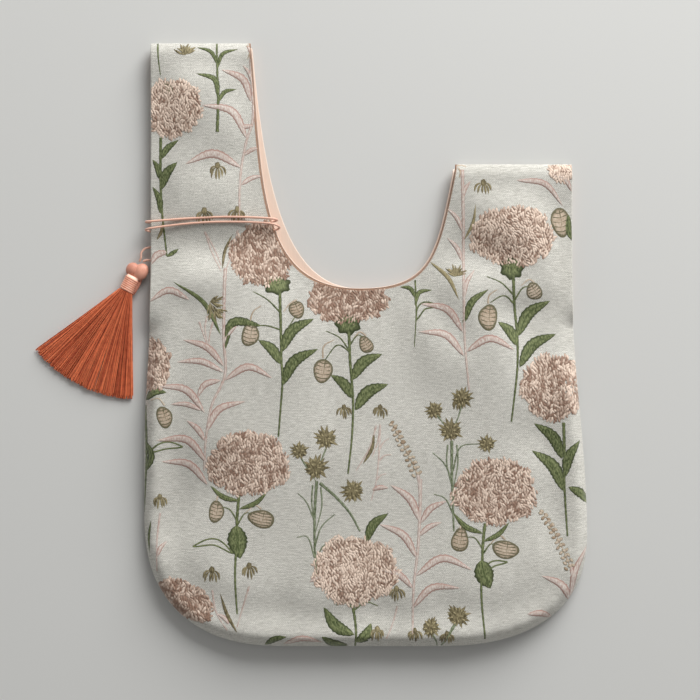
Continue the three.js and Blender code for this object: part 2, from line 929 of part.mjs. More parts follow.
const cordOff = cordDiameter / 2 + cordClear;
const cordY = neckY + 38; // it crosses the strap about here
const onTop = frontOver(longInnerX - 10, cordY) + cordOff;
const inside = frontLiningOver(longInnerX - 10, cordY) - liningThick - cordOff;
const deep = backLiningUnder(longInnerX - 10, cordY) + liningThick + cordOff;
const outerEdge = () => sideX(longSide, cordY);
const innerEdge = (y) =>
  neckFront.long.getPoint(shareAtHeight(neckFront.long, y)).x + liningRoll;
const at3 = (x, y, z) => new THREE.Vector3(x, y, z);

// Half a turn round an edge of the strap. Way is 1 upwards and -1 downwards.
function roundEdge(edge, sign, way, fromY, toY) {
  const points = [];
  for (let i = 0; i <= 4; i++) {
    const turn = (i / 4) * Math.PI;
    const y = mix(fromY, toY, i / 4);
    const x = edge(y) + sign * cordBend * Math.sin(turn);
    points.push(at3(x, y, (onTop + inside) / 2 - way * cordBend * Math.cos(turn)));
  }
  return points;
}

// The cord's two ends lie side by side between the lobes of the tassel's head.
function onTassel(x, y, z) {
  tassel.updateMatrix();
  return at3(x, bindingLength + layerGap + y, z).applyMatrix4(tassel.matrix);
}

const left = -halfWidth;
const cordPoints = [
  onTassel(-0.9, 9.2, tasselZ),
  onTassel(-0.9, 11.2, tasselZ + 0.4),
  at3(left - 1.6, neckY + 21.2, tasselZ + 0.2),
  at3(left + 0.6, neckY + 23.6, deep + 0.6),
  at3(left + 6, neckY + 24.6, deep),
  at3(left + 32, neckY + 29, deep),
  at3(left + 58, neckY + 32.6, deep),
  at3(innerEdge(neckY + 35) - 5, neckY + 33.8, inside - 1),
  ...roundEdge(innerEdge, 1, 1, neckY + 34.2, neckY + 37),
  at3(innerEdge(neckY + 35) - 7, neckY + 37.8, onTop + 0.2),
  at3(left + 52, neckY + 38.4, onTop),
  at3(left + 34, neckY + 38, onTop),
  at3(left + 15, neckY + 36.2, onTop),
  ...roundEdge(outerEdge, -1, -1, neckY + 34.6, neckY + 33.2),
  at3(outerEdge() + 5, neckY + 32.8, inside - 0.3),
  at3(outerEdge() + 8.2, neckY + 35.8, inside - 0.3),
  at3(outerEdge() + 5, neckY + 38.8, inside - 0.3),
  ...roundEdge(outerEdge, -1, 1, neckY + 38.4, neckY + 38.6),
  at3(left + 22, neckY + 40, onTop),
  at3(left + 48, neckY + 41.2, onTop),
  ...roundEdge(innerEdge, 1, -1, neckY + 40.2, neckY + 39),
  at3(left + 62, neckY + 36, inside - 0.2),
  at3(left + 46, neckY + 27, inside),
  at3(left + 26, neckY + 19.6, inside - 1),
  at3(left + 8, neckY + 16.2, deep + 1),
  at3(left + 2, neckY + 17, tasselZ),
  onTassel(0.9, 10.2, tasselZ),
];
function cord() {
  const path = new THREE.CatmullRomCurve3(cordPoints, false, "centripetal");
  path.getUtoTmapping = (u) => u; // steps follow the points, which crowd at the bends
  const section = new THREE.Shape();
  section.absarc(0, 0, cordDiameter / 2, 0, 2 * Math.PI);
  return new THREE.ExtrudeGeometry(section, {
    extrudePath: path,
    steps: 2 * (cordPoints.length - 1),
    curveSegments: 4,
    bevelEnabled: false,
  });
}
part("hanging_cord", cord(), cordSatin);

export default bag;
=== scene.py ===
# A soft wrist bag of figured cloth, lined with satin, lying on its back with its tassel beside it.
import math
import random
from functools import partial
import bmesh
import bpy
import numpy as np
from mathutils import Matrix, Vector
from mathutils.geometry import delaunay_2d_cdt


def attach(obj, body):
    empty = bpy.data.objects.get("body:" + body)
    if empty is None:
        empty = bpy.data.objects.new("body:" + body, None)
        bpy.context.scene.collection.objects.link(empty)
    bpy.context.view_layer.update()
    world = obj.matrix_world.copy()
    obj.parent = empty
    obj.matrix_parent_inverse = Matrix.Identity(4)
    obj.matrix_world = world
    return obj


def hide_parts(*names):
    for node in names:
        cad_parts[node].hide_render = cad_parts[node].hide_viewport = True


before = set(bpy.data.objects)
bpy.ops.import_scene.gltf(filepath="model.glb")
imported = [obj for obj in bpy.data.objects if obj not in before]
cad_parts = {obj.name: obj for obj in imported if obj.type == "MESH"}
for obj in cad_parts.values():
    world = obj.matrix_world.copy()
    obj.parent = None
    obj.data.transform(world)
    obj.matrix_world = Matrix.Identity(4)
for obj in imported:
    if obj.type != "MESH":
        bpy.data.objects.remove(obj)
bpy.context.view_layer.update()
mm = 0.001  # the layout below is in millimetres, the meshes are in metres
random.seed(7)


def shown(name, data):  # an object of its own in the scene
    made = bpy.data.objects.new(name, data)
    bpy.context.scene.collection.objects.link(made)
    return made


print("camera")
camera = {"height": 0.948, "lens": 85, "over": (-0.00898, -0.00285)}
cameraData = bpy.data.cameras.new("overhead")
cameraData.lens = camera["lens"]
cameraObject = shown("overhead", cameraData)
cameraObject.location = (*camera["over"], camera["height"])
bpy.context.scene.camera = cameraObject
bpy.context.scene.view_settings.view_transform = "Standard"


def paint(red, green, blue):  # a colour as a paint program gives it, 0 to 255
    linear = lambda c: c / 12.92 if c <= 0.04045 else ((c + 0.055) / 1.055) ** 2.4
    return (*[linear(c / 255) for c in (red, green, blue)], 1)


def node(tree, kind, inputs=(), **settings):
    made = tree.nodes.new(kind)
    for key, value in settings.items():
        setattr(made, key, value)
    for key, value in dict(inputs).items():
        if isinstance(value, bpy.types.NodeSocket):
            tree.links.new(value, made.inputs[key])
        else:
            made.inputs[key].default_value = value
    return made


def calc(tree, operation, *values):
    return node(tree, "ShaderNodeMath", enumerate(values), operation=operation).outputs[0]


def blended(tree, share, low, high):
    return node(tree, "ShaderNodeMix", {0: share, 6: low, 7: high}, data_type="RGBA").outputs[2]


def ranged(tree, value, low, high, atLow=0.0, atHigh=1.0):
    inputs = {0: value, 1: low, 2: high, 3: atLow, 4: atHigh}
    return node(tree, "ShaderNodeMapRange", inputs, clamp=True).outputs[0]


def noise(tree, place, scale, detail=2.0):
    return node(tree, "ShaderNodeTexNoise", {"Vector": place, "Scale": scale, "Detail": detail}).outputs[0]


def stretched(tree, place, scale, turn=0):
    return node(tree, "ShaderNodeMapping", {0: place, 2: (0, 0, turn), 3: scale}).outputs[0]


def ownValue(tree, name):  # a value that the piece's mesh carries
    return node(tree, "ShaderNodeAttribute", attribute_name=name).outputs["Fac"]


def ownLayout(tree):
    return node(tree, "ShaderNodeUVMap", uv_map="threads").outputs[0]


def newFinish(name, sockets):
    material = bpy.data.materials.new(name)
    material.use_nodes = True
    shader = material.node_tree.nodes["Principled BSDF"]
    for label, value in sockets.items():
        shader.inputs[label].default_value = value
    return material, material.node_tree, shader


def dress(tree, shader, colour, height, strength, distance):  # the shader's colour and relief
    bump = node(tree, "ShaderNodeBump", {"Strength": strength, "Distance": distance, "Height": height})
    tree.links.new(colour, shader.inputs["Base Color"])
    tree.links.new(bump.outputs[0], shader.inputs["Normal"])


def newTree(name, kinds):  # a Geometry Nodes tree with named inputs, listed by their kinds
    tree = bpy.data.node_groups.new(name, "GeometryNodeTree")
    face = tree.interface
    face.new_socket("Geometry", in_out="OUTPUT", socket_type="NodeSocketGeometry")
    for kind, labels in {"Geometry": ["Geometry"], **kinds}.items():
        for label in labels:
            face.new_socket(label, in_out="INPUT", socket_type="NodeSocket" + kind)
    return tree, tree.nodes.new("NodeGroupInput").outputs


def endTree(tree, geometry, material):
    real = node(tree, "GeometryNodeRealizeInstances", {"Geometry": geometry})
    dyed = node(tree, "GeometryNodeSetMaterial", {"Geometry": real.outputs[0], "Material": material})
    tree.links.new(dyed.outputs[0], tree.nodes.new("NodeGroupOutput").inputs[0])
    return tree


def chance(tree, low, high, seed):
    inputs = {2: low, 3: high, 8: seed}
    return node(tree, "FunctionNodeRandomValue", inputs, data_type="FLOAT").outputs[1]


def combined(tree, x=0.0, y=0.0, z=0.0):
    return node(tree, "ShaderNodeCombineXYZ", {0: x, 1: y, 2: z}).outputs[0]


def named(tree, label):
    return node(tree, "GeometryNodeInputNamedAttribute", {"Name": label}, data_type="FLOAT").outputs[0]


def stored(tree, geometry, label, value):  # each instance keeps a value of its own
    inputs = {"Geometry": geometry, "Name": label, "Value": value}
    kept = node(tree, "GeometryNodeStoreNamedAttribute", inputs, data_type="FLOAT", domain="INSTANCE")
    return kept.outputs[0]


def placedOn(tree, points, instance, turn, x, y):  # instances turned about z and stretched
    inputs = {
        "Points": points,
        "Instance": instance,
        "Rotation": combined(tree, z=turn),
        "Scale": combined(tree, x, y, 1.0),
    }
    return node(tree, "GeometryNodeInstanceOnPoints", inputs).outputs[0]


def objectIn(tree, given):
    return node(tree, "GeometryNodeObjectInfo", {"Object": given}).outputs["Geometry"]


def threadAlong(tree, curve, radius, sides):  # a round thread along a curve
    profile = node(tree, "GeometryNodeCurvePrimitiveCircle", {"Resolution": sides, "Radius": radius})
    inputs = {"Curve": curve, "Profile Curve": profile.outputs[0], "Fill Caps": True}
    return node(tree, "GeometryNodeCurveToMesh", inputs).outputs[0]


def together(tree, *parts):
    both = node(tree, "GeometryNodeJoinGeometry")
    for part in parts:
        tree.links.new(part, both.inputs[0])
    return both.outputs[0]


def newMesh(name, points, faces, material, layout=None, values=None):
    mesh = bpy.data.meshes.new(name)
    mesh.from_pydata([tuple(p) for p in points], [], [tuple(f) for f in faces])
    mesh.materials.append(material)
    corners = np.empty(len(mesh.loops), np.int64)
    mesh.loops.foreach_get("vertex_index", corners)
    if layout is not None:
        uvLayer = mesh.uv_layers.new(name="threads")
        uvLayer.data.foreach_set("uv", np.asarray(layout, np.float32)[corners].ravel())
    for label, numbers in (values or {}).items():
        attribute = mesh.attributes.new(label, "FLOAT", "POINT")
        attribute.data.foreach_set("value", np.asarray(numbers, np.float32))
    mesh.polygons.foreach_set("use_smooth", [True] * len(mesh.polygons))
    return shown(name, mesh)


def finished(source, name, tree, inputs):  # runs a Geometry Nodes tree and keeps its mesh
    modifier = source.modifiers.new("growth", "NODES")
    modifier.node_group = tree
    sockets = {s.name: s.identifier for s in tree.interface.items_tree if s.in_out == "INPUT"}
    for label, value in inputs.items():
        modifier[sockets[label]] = value
    graph = bpy.context.evaluated_depsgraph_get()
    mesh = bpy.data.meshes.new_from_object(source.evaluated_get(graph), depsgraph=graph)
    source.modifiers.remove(modifier)
    mesh.name = name
    made = shown(name, mesh)
    bpy.data.objects.remove(source)
    return made


def gridFaces(rows, lanes, closed=True, start=0):  # quads between rows of points
    faces = []
    for r in range(rows - 1):
        for k in range(lanes if closed else lanes - 1):
            a, b = start + r * lanes + k, start + r * lanes + (k + 1) % lanes
            faces.append((a, b, b + lanes, a + lanes))
    return faces


def endCaps(rows, lanes, start=0):
    last = start + (rows - 1) * lanes
    return [tuple(range(start, start + lanes))[::-1], tuple(range(last, last + lanes))]


def smoothStep(x, low, high):
    share = np.clip((np.asarray(x, float) - low) / (high - low), 0, 1)
    return share * share * (3 - 2 * share)


def mix(a, b, share):
    return a + (b - a) * share


def lengthAlong(path):
    return np.concatenate([[0], np.cumsum(np.linalg.norm(np.diff(path, axis=0), axis=1))])


def evenly(path, step):  # the same path with its points about one step apart
    path = np.asarray(path, float)
    run = lengthAlong(path)
    at = np.linspace(0, run[-1], max(1, round(run[-1] / step)) + 1)
    return np.column_stack([np.interp(at, run, axis) for axis in path.T])


def rounded(points, perSpan=8):  # a smooth curve through the points
    p = np.asarray(points, float)
    p = np.vstack([2 * p[0] - p[1], p, 2 * p[-1] - p[-2]])
    knots = np.concatenate([[0], np.cumsum(np.linalg.norm(np.diff(p, axis=0), axis=1) ** 0.5)])
    made = []
    for i in range(1, len(p) - 2):
        t = np.linspace(knots[i], knots[i + 1], perSpan, endpoint=False)[:, None]

        def blend(a, b, left, right):
            span = knots[right] - knots[left]
            return a * (knots[right] - t) / span + b * (t - knots[left]) / span

        a = [blend(p[k], p[k + 1], k, k + 1) for k in (i - 1, i, i + 1)]
        b = [blend(a[k], a[k + 1], i - 1 + k, i + 1 + k) for k in (0, 1)]
        made.append(blend(b[0], b[1], i, i + 1))
    return np.vstack([*made, p[-2:-1]])


def closedLoop(path):
    return np.vstack([path, path[:1]])


def turned(x, y, degrees):
    c, s = math.cos(math.radians(degrees)), math.sin(math.radians(degrees))
    return c * x - s * y, s * x + c * y


def roundTurn(count):  # angles once round
    return np.linspace(0, 2 * math.pi, count, endpoint=False)


def nearestOn(path, points):  # distance to a path, and how far along it the nearest place is
    away = np.full(len(points), 1e9)
    along = np.zeros(len(points))
    start = 0
    for a, b in zip(path[:-1], path[1:]):
        step = b - a
        length = math.hypot(*step)
        if length < 1e-9:
            continue
        share = np.clip((points - a) @ step / length**2, 0, 1)
        gap = np.hypot(*(points - a - share[:, None] * step).T)
        closer = gap < away
        away[closer] = gap[closer]
        along[closer] = start + share[closer] * length
        start += length
    return away, along


def insideOf(outline, points):
    x, y = points.T
    inside = np.zeros(len(points), bool)
    for (ax, ay), (bx, by) in zip(outline, np.roll(outline, -1, 0)):
        if ay != by:
            inside ^= ((ay > y) != (by > y)) & (x < ax + (y - ay) * (bx - ax) / (by - ay))
    return inside


print("cord")
# From the tassel's head, twice round the long handle's front strap, and back. In metres.
cord = {
    "diameter": 0.0013,
    "sides": 10,
    "dark": (196, 130, 108),
    "light": (250, 212, 190),
    "slant": (900, 6),  # threads to a metre, and turns round the cord
    "route": [
        (-0.12923, 0.04783, 0.00418), (-0.12833, 0.04961, 0.00458), (-0.12810, 0.05270, 0.00438),
        (-0.12590, 0.05510, 0.00370), (-0.12050, 0.05610, 0.00310), (-0.09450, 0.06050, 0.00310),
        (-0.06850, 0.06410, 0.00310), (-0.05647, 0.06530, 0.00520), (-0.05118, 0.06570, 0.00562),
        (-0.04960, 0.06640, 0.00639), (-0.04908, 0.06710, 0.00822), (-0.05008, 0.06780, 0.01006),
        (-0.05216, 0.06850, 0.01082), (-0.05847, 0.06930, 0.01045), (-0.07450, 0.06990, 0.01025),
        (-0.09250, 0.06950, 0.01025), (-0.11150, 0.06770, 0.01025), (-0.12250, 0.06610, 0.01082),
        (-0.12434, 0.06575, 0.01006), (-0.12510, 0.06540, 0.00822), (-0.12434, 0.06505, 0.00639),
        (-0.12250, 0.06470, 0.00562), (-0.11750, 0.06430, 0.00590), (-0.11430, 0.06730, 0.00590),
        (-0.11750, 0.07030, 0.00590), (-0.12250, 0.06990, 0.00562), (-0.12434, 0.06995, 0.00639),
        (-0.12510, 0.07000, 0.00822), (-0.12434, 0.07005, 0.01006), (-0.12250, 0.07010, 0.01082),
        (-0.10450, 0.07150, 0.01025), (-0.07850, 0.07270, 0.01025), (-0.05316, 0.07170, 0.01082),
        (-0.05123, 0.07140, 0.01006), (-0.05038, 0.07110, 0.00822), (-0.05105, 0.07080, 0.00639),
        (-0.05279, 0.07050, 0.00562), (-0.06450, 0.06750, 0.00600), (-0.08050, 0.05850, 0.00620),
        (-0.10050, 0.05110, 0.00520), (-0.11850, 0.04770, 0.00410), (-0.12450, 0.04850, 0.00418),
        (-0.12718, 0.04790, 0.00418),
    ],
}


def tube(path, radius, sides):  # a closed round tube: points, faces, and length and turn as a layout
    path = np.asarray(path, float)
    heading = np.gradient(path, axis=0)
    heading /= np.linalg.norm(heading, axis=1)[:, None]
    up = np.array([0.0, 0.0, 1.0])
    points, layout = [], []
    run = 0
    for i, (at, way) in enumerate(zip(path, heading)):
        up = up - way * (up @ way)
        up /= np.linalg.norm(up)
        across = np.cross(way, up)
        run += np.linalg.norm(at - path[i - 1]) if i else 0
        for k in range(sides):
            turn = 2 * math.pi * k / sides
            points.append(at + radius * (math.cos(turn) * across + math.sin(turn) * up))
            layout.append((run, k / sides))
    return points, gridFaces(len(path), sides) + endCaps(len(path), sides), layout


def satinCordFinish():  # fine threads run slightly slanted round the cord
    sockets = {"Roughness": 0.42, "Sheen Weight": 0.35, "Sheen Roughness": 0.4}
    material, tree, shader = newFinish("peachSatinCord", sockets)
    layout = ownLayout(tree)
    along, around = node(tree, "ShaderNodeSeparateXYZ", {0: layout}).outputs[:2]
    every, turns = cord["slant"]
    slant = calc(tree, "MULTIPLY_ADD", along, every, calc(tree, "MULTIPLY", around, turns))
    ridges = calc(tree, "ABSOLUTE", calc(tree, "SINE", calc(tree, "MULTIPLY", slant, math.pi)))
    wear = noise(tree, layout, 140.0, 3.0)
    # The crests of the slanted threads are painted lighter and the grooves between them darker, as shade.
    tone = calc(tree, "MULTIPLY_ADD", wear, 0.7, calc(tree, "MULTIPLY", ridges, 0.3))
    shade = blended(tree, tone, paint(*cord["dark"]), paint(*cord["light"]))
    dress(tree, shader, shade, ridges, 0.35, 0.0001)
    return material


cordPath = rounded(cord["route"], 6)
cordPoints, cordFaces, cordLayout = tube(cordPath, cord["diameter"] / 2, cord["sides"])
hangingCord = newMesh("hangingCord", cordPoints, cordFaces, satinCordFinish(), cordLayout)

print("cut")  # the same outline as the solid model's, in millimetres
cut = {
    "width": 253,
    "height": 344,
    "neckDepth": 140.5,
    "neckLowFromLeft": 123,
    "shortHandleDrop": 69,
    "longHandleWidth": 56.5,
    "shortHandleWidth": 66,
    "backNeckPeek": 6.4,
    "seamEndBelowNeck": 19,
    "handleAboveNeck": 9,
    "cornerPower": 2.45,
    # How the neck's curves swell: shares of their run and height, and of the back's peek.
    "longCurve": ((0.105, 0.1, 0.43), (0.054, 2.3, 0)),
    "shortCurve": ((0.764, 0), (0.812, 0.27)),
}
longSide = {"sign": -1, "inset": 4, "widestY": -60, "cornerWide": 82, "cornerHigh": 77}
shortSide = {"sign": 1, "inset": 9, "widestY": -108, "cornerWide": 88, "cornerHigh": 66}
halfWidth = cut["width"] / 2
topY = cut["height"] / 2
neckY = topY - cut["neckDepth"]
neckLowX = cut["neckLowFromLeft"] - halfWidth
shortTopY = topY - cut["shortHandleDrop"]
seamTopY = neckY - cut["seamEndBelowNeck"]
handleY = neckY + cut["handleAboveNeck"]
longInnerX = cut["longHandleWidth"] + longSide["inset"] - halfWidth
shortInnerX = halfWidth - shortSide["inset"] - cut["shortHandleWidth"]


def sidePath(side, topAt, seam, open):  # from the handle's top down to the corner's middle
    y = np.linspace(topAt, side["cornerHigh"] - topY, 90)
    margin = mix(seam, open, smoothStep(y, seamTopY, handleY))
    x = side["sign"] * (halfWidth - side["inset"] * smoothStep(y, side["widestY"], handleY) - margin)
    turn = np.linspace(0, math.pi / 4, 24)[1:]
    return np.vstack([np.column_stack([x, y]), cornerArc(side, turn, seam)])


def cornerArc(side, turn, margin):
    across = (side["cornerWide"] - margin) * np.cos(turn).clip(0) ** (2 / cut["cornerPower"])
    down = (side["cornerHigh"] - margin) * np.sin(turn) ** (2 / cut["cornerPower"])
    x = side["sign"] * (halfWidth - side["cornerWide"] + across)
    return np.column_stack([x, side["cornerHigh"] - topY - down])


def neckPath(peek, margin):  # from the short handle's top round to the long handle's top
    low = np.array([neckLowX, neckY - margin])
    leftX, rightX = longInnerX - margin, shortInnerX + margin
    leftRun, rightRun = low[0] - leftX, rightX - low[0]
    t = np.linspace(0, 1, 70)[:, None]

    def bezier(a, b, c, d):
        a, b, c, d = map(np.array, (a, b, c, d))
        return a * (1 - t) ** 3 + 3 * b * t * (1 - t) ** 2 + 3 * c * t**2 * (1 - t) + d * t**3

    bends = [
        (leftX + run * leftRun + back * peek, low[1] + up * cut["neckDepth"])
        for run, back, up in cut["longCurve"]
    ]
    long = bezier((leftX, topY), *bends, low)
    bends = [(low[0] + run * rightRun, low[1] + up * (shortTopY - low[1])) for run, up in cut["shortCurve"]]
    short = bezier(low, *bends, (rightX, shortTopY))
    return np.vstack([long, short[1:]])[::-1]


def lowered(path, highest):  # the path as far as a lower top, at its first or last end
    keep = path[path[:, 1] < highest]
    if path[0, 1] >= highest:
        keep = np.vstack([[(keep[0, 0], highest)], keep])
    if path[-1, 1] >= highest:
        keep = np.vstack([keep, [(keep[-1, 0], highest)]])
    return keep


def outlineOf(step, peek=0, seam=0, open=0, top=0, neck=0):  # the rim, less margins for a lining
    longTop, shortTop = topY - top, shortTopY - top
    left = sidePath(longSide, longTop, seam, open)
    right = sidePath(shortSide, shortTop, seam, open)[::-1]
    turn = np.linspace(math.pi / 4, math.pi / 2, 24)
    bottom = np.vstack([cornerArc(longSide, turn, seam), cornerArc(shortSide, turn, seam)[::-1]])
    rim = neckPath(peek, neck)
    half = len(rim) // 2
    rim = np.vstack([lowered(rim[:half], shortTop), lowered(rim[half:], longTop)])
    parts = [left, bottom, right, [right[-1], rim[0]], rim, [rim[-1], left[0]]]
    return np.vstack([evenly(part, step)[:-1] for part in parts])


lie = {  # how the cloth lies
    "thick": 1.2,
    "liningThick": 0.5,
    "layerGap": 0.45,
    "seamGap": 0.3,
    "strapRoom": 5,
    "bodyRoom": 9,
    "strapFrom": (-50, 30),  # a strap's room begins round the height of the neck's low point
    "underFigures": 0.35,  # room for the figures on the back's outer face
    "sideSeamZ": 3.2,
    "topSeamZ": 4.5,
    "bendPower": 2.6,
    "sideBend": 9,
    "seamEndBend": 26,
    "seamEndReach": (4, 42),
    "topBend": 9,
    "backSideBend": 14,
    "pucker": 0.28,  # little folds along the sewn seams
    "puckerEvery": 13,
    "puckerUneven": 31,
    "puckerReach": 7,
    "hollowsFade": (0, 7),  # from the rims
    "hollows": [  # soft rises and dips of the front: x, y, reach, height
        (-40, 8, 16, 1.4), (14, 8, 16, -1.2), (30, -36, 24, -3.2), (-58, -20, 22, -1.6),
        (-106, -122, 9, 1.8), (-92, -133, 9, 1.8), (-78, -143, 9, 1.5), (-104, -146, 8, -1.0),
        (-116, -100, 10, -1.2), (-62, -161, 12, 2.6), (-34, -164, 12, 2.4), (-6, -165, 12, 2.6),
        (24, -165, 12, 2.4), (54, -162, 12, 2.6), (82, -152, 12, 2.0), (104, -126, 13, 1.2),
        (-84, -104, 24, -2.8), (-34, -106, 26, -1.6), (20, -108, 26, -1.8), (80, -98, 22, -2.2),
        (-30, -60, 34, -1.2), (70, -50, 26, -1.4), (84, 66, 14, 1.6), (-96, 138, 13, 1.4),
        (-95, 60, 16, -1.0), (-94, 30, 10, 0.8), (-92, 112, 16, -0.8), (-84, 8, 16, 1.2), (84, 30, 20, 1.2),
        (102, -30, 18, 1.2), (-106, -40, 18, 1.2),
    ],
}
sideSeam = outlineOf(4)
sideSeam = np.roll(sideSeam, -int(np.argmax(sideSeam[:, 1] <= seamTopY)), 0)
sideSeam = sideSeam[: int(np.argmax(sideSeam[:, 1] > seamTopY))]
seamLength = np.hypot(*np.diff(sideSeam, axis=0).T).sum()
longTopSeam = np.array([(-halfWidth + longSide["inset"], topY), (longInnerX, topY)])
shortTopSeam = np.array([(shortInnerX, shortTopY), (halfWidth - shortSide["inset"], shortTopY)])


def rise(distance, bend):
    return 1 - (1 - np.clip(distance / bend, 0, 1)) ** lie["bendPower"]


def sideBend(along):  # the front rises more gently where the side seam ends
    fromEnd = np.minimum(along, seamLength - along)
    return mix(lie["seamEndBend"], lie["sideBend"], smoothStep(fromEnd, *lie["seamEndReach"]))


def seamDistances(points):  # from the side seam, along it, and from the handles' tops
    side, along = nearestOn(sideSeam, points)
    tops = np.minimum(nearestOn(longTopSeam, points)[0], nearestOn(shortTopSeam, points)[0])
    return side, along, tops


def slack(points, side, along, tops):  # what the lie adds to the plain form
    x, y = points.T
    lift = np.zeros(len(points))
    for atX, atY, reach, height in lie["hollows"]:
        lift += height * np.exp(-((x - atX) ** 2 + (y - atY) ** 2) / (2 * reach**2))
    inside = np.minimum(side, tops)
    lift *= smoothStep(inside, *lie["hollowsFade"])
    lift += draped(points) * smoothStep(inside, *settle["fade"])
    wave = np.sin(2 * math.pi * along / lie["puckerEvery"] + 2 * np.sin(along / lie["puckerUneven"]))
    lift += lie["pucker"] * wave * np.exp(-side / lie["puckerReach"]) * smoothStep(side, 0, 1.5)
    return lift


def frontUnder(points):  # height of the front panel's under face
    side, along, tops = seamDistances(points)
    strap = smoothStep(points[:, 1], *[neckY + at for at in lie["strapFrom"]])
    room = mix(lie["bodyRoom"], lie["strapRoom"], strap)
    full = lie["thick"] + 2 * (lie["layerGap"] + lie["liningThick"]) + room
    low = lie["seamGap"] / 2
    plain = np.minimum(
        mix(lie["sideSeamZ"] + low, full, rise(side, sideBend(along))),
        mix(lie["topSeamZ"] + low, full, rise(tops, lie["topBend"])),
    )
    return plain + slack(points, side, along, tops)


def backOver(points):  # height of the back panel's upper face
    side, _, tops = seamDistances(points)
    low = lie["seamGap"] / 2
    return np.maximum(
        mix(lie["sideSeamZ"] - low, lie["thick"], rise(side, lie["backSideBend"])),
        mix(lie["topSeamZ"] - low, lie["thick"], rise(tops, lie["topBend"])),
    )


rimSteps = (0, 0.07, 0.25, 0.6, 1.1, 1.8)  # rings of points along every rim, in from its edge
farIn = 9.0  # the depth noted for all points inside those rings


def clothPlan(outline, step):  # flat points, triangles and quads, and each point's distance from the rim
    before, after = np.roll(outline, 1, 0), np.roll(outline, -1, 0)

    def inward(run):
        return np.column_stack([-run[:, 1], run[:, 0]]) / np.hypot(*run.T)[:, None]

    a, b = inward(outline - before), inward(after - outline)
    corner = (a + b) / (1 + (a * b).sum(1))[:, None]
    rings = [outline + corner * distance for distance in rimSteps]
    count = len(outline)
    low, high = outline.min(0), outline.max(0)
    grid = []
    for k, y in enumerate(np.arange(low[1], high[1], step * 0.866)):
        x = np.arange(low[0] + (step / 2) * (k % 2), high[0], step)
        grid.append(np.column_stack([x, np.full(len(x), y)]))
    grid = np.vstack(grid)
    grid = grid[insideOf(rings[-1], grid)]
    grid = grid[nearestOn(closedLoop(rings[-1]), grid)[0] > 0.6 * step]
    inner = [Vector(p) for p in np.vstack([rings[-1], grid]).tolist()]
    made = delaunay_2d_cdt(inner, [], [list(range(count))], 1, 1e-5)
    first = (len(rings) - 1) * count
    origin = [group[0] if group else None for group in made[3]]
    faces = gridFaces(len(rings), count)
    faces += [tuple(first + origin[i] for i in face) for face in made[2]]
    depth = np.concatenate([*[np.full(count, d) for d in rimSteps], np.full(len(grid), farIn)])
    return np.vstack([*rings, grid]), faces, depth, count


def clothSheet(name, plan, middle, thick, material, values=None):  # a closed sheet with rounded rims
    points, faces, depth, count = plan
    half = thick / 2 * np.sqrt(1 - (1 - np.clip(depth / (thick / 2), 0, 1)) ** 2)
    upper = np.column_stack([points, middle + half])
    lower = np.column_stack([points, middle - half])[count:]
    shift = len(points) - count
    under = lambda i: i if i < count else i + shift
    allFaces = faces + [tuple(under(i) for i in face[::-1]) for face in faces]
    layout = np.vstack([points, points[count:]]) * mm
    numbers = {k: np.concatenate([v, v[count:]]) for k, v in (values or {}).items()}
    return newMesh(name, np.vstack([upper, lower]) * mm, allFaces, material, layout, numbers)


settle = {  # the front settles: a coarse copy is pressed out and slackened, and its lie is kept
    "step": 7,
    "spare": 0.022,
    "press": 0.8,
    "frames": 26,
    "most": 2.6,
    "reach": 6.5,
    "broad": 20,
    "strength": 1.6,
    "fade": (2, 26),  # from the rims
    "scale": 0.01,  # it runs at ten times the size, where it is steadier
    "cloth": {
        "quality": 6,
        "mass": 0.25,
        "tension_stiffness": 12,
        "compression_stiffness": 12,
        "shear_stiffness": 5,
        "bending_stiffness": 1.2,
        "vertex_group_mass": "seams",
        "use_pressure": True,
    },
}
settledAt, settledLift = np.zeros((0, 2)), np.zeros(0)


def draped(points):  # how far the settled cloth stands over its plain form
    if not len(settledAt):
        return np.zeros(len(points))
    lift = np.empty(len(points))
    for start in range(0, len(points), 2000):
        part = points[start : start + 2000]
        away = ((part[:, None] - settledAt[None]) ** 2).sum(2)
        weight = np.exp(-away / (2 * settle["reach"] ** 2)) + 1e-12
        lift[start : start + 2000] = (weight * settledLift).sum(1) / weight.sum(1)
    return lift


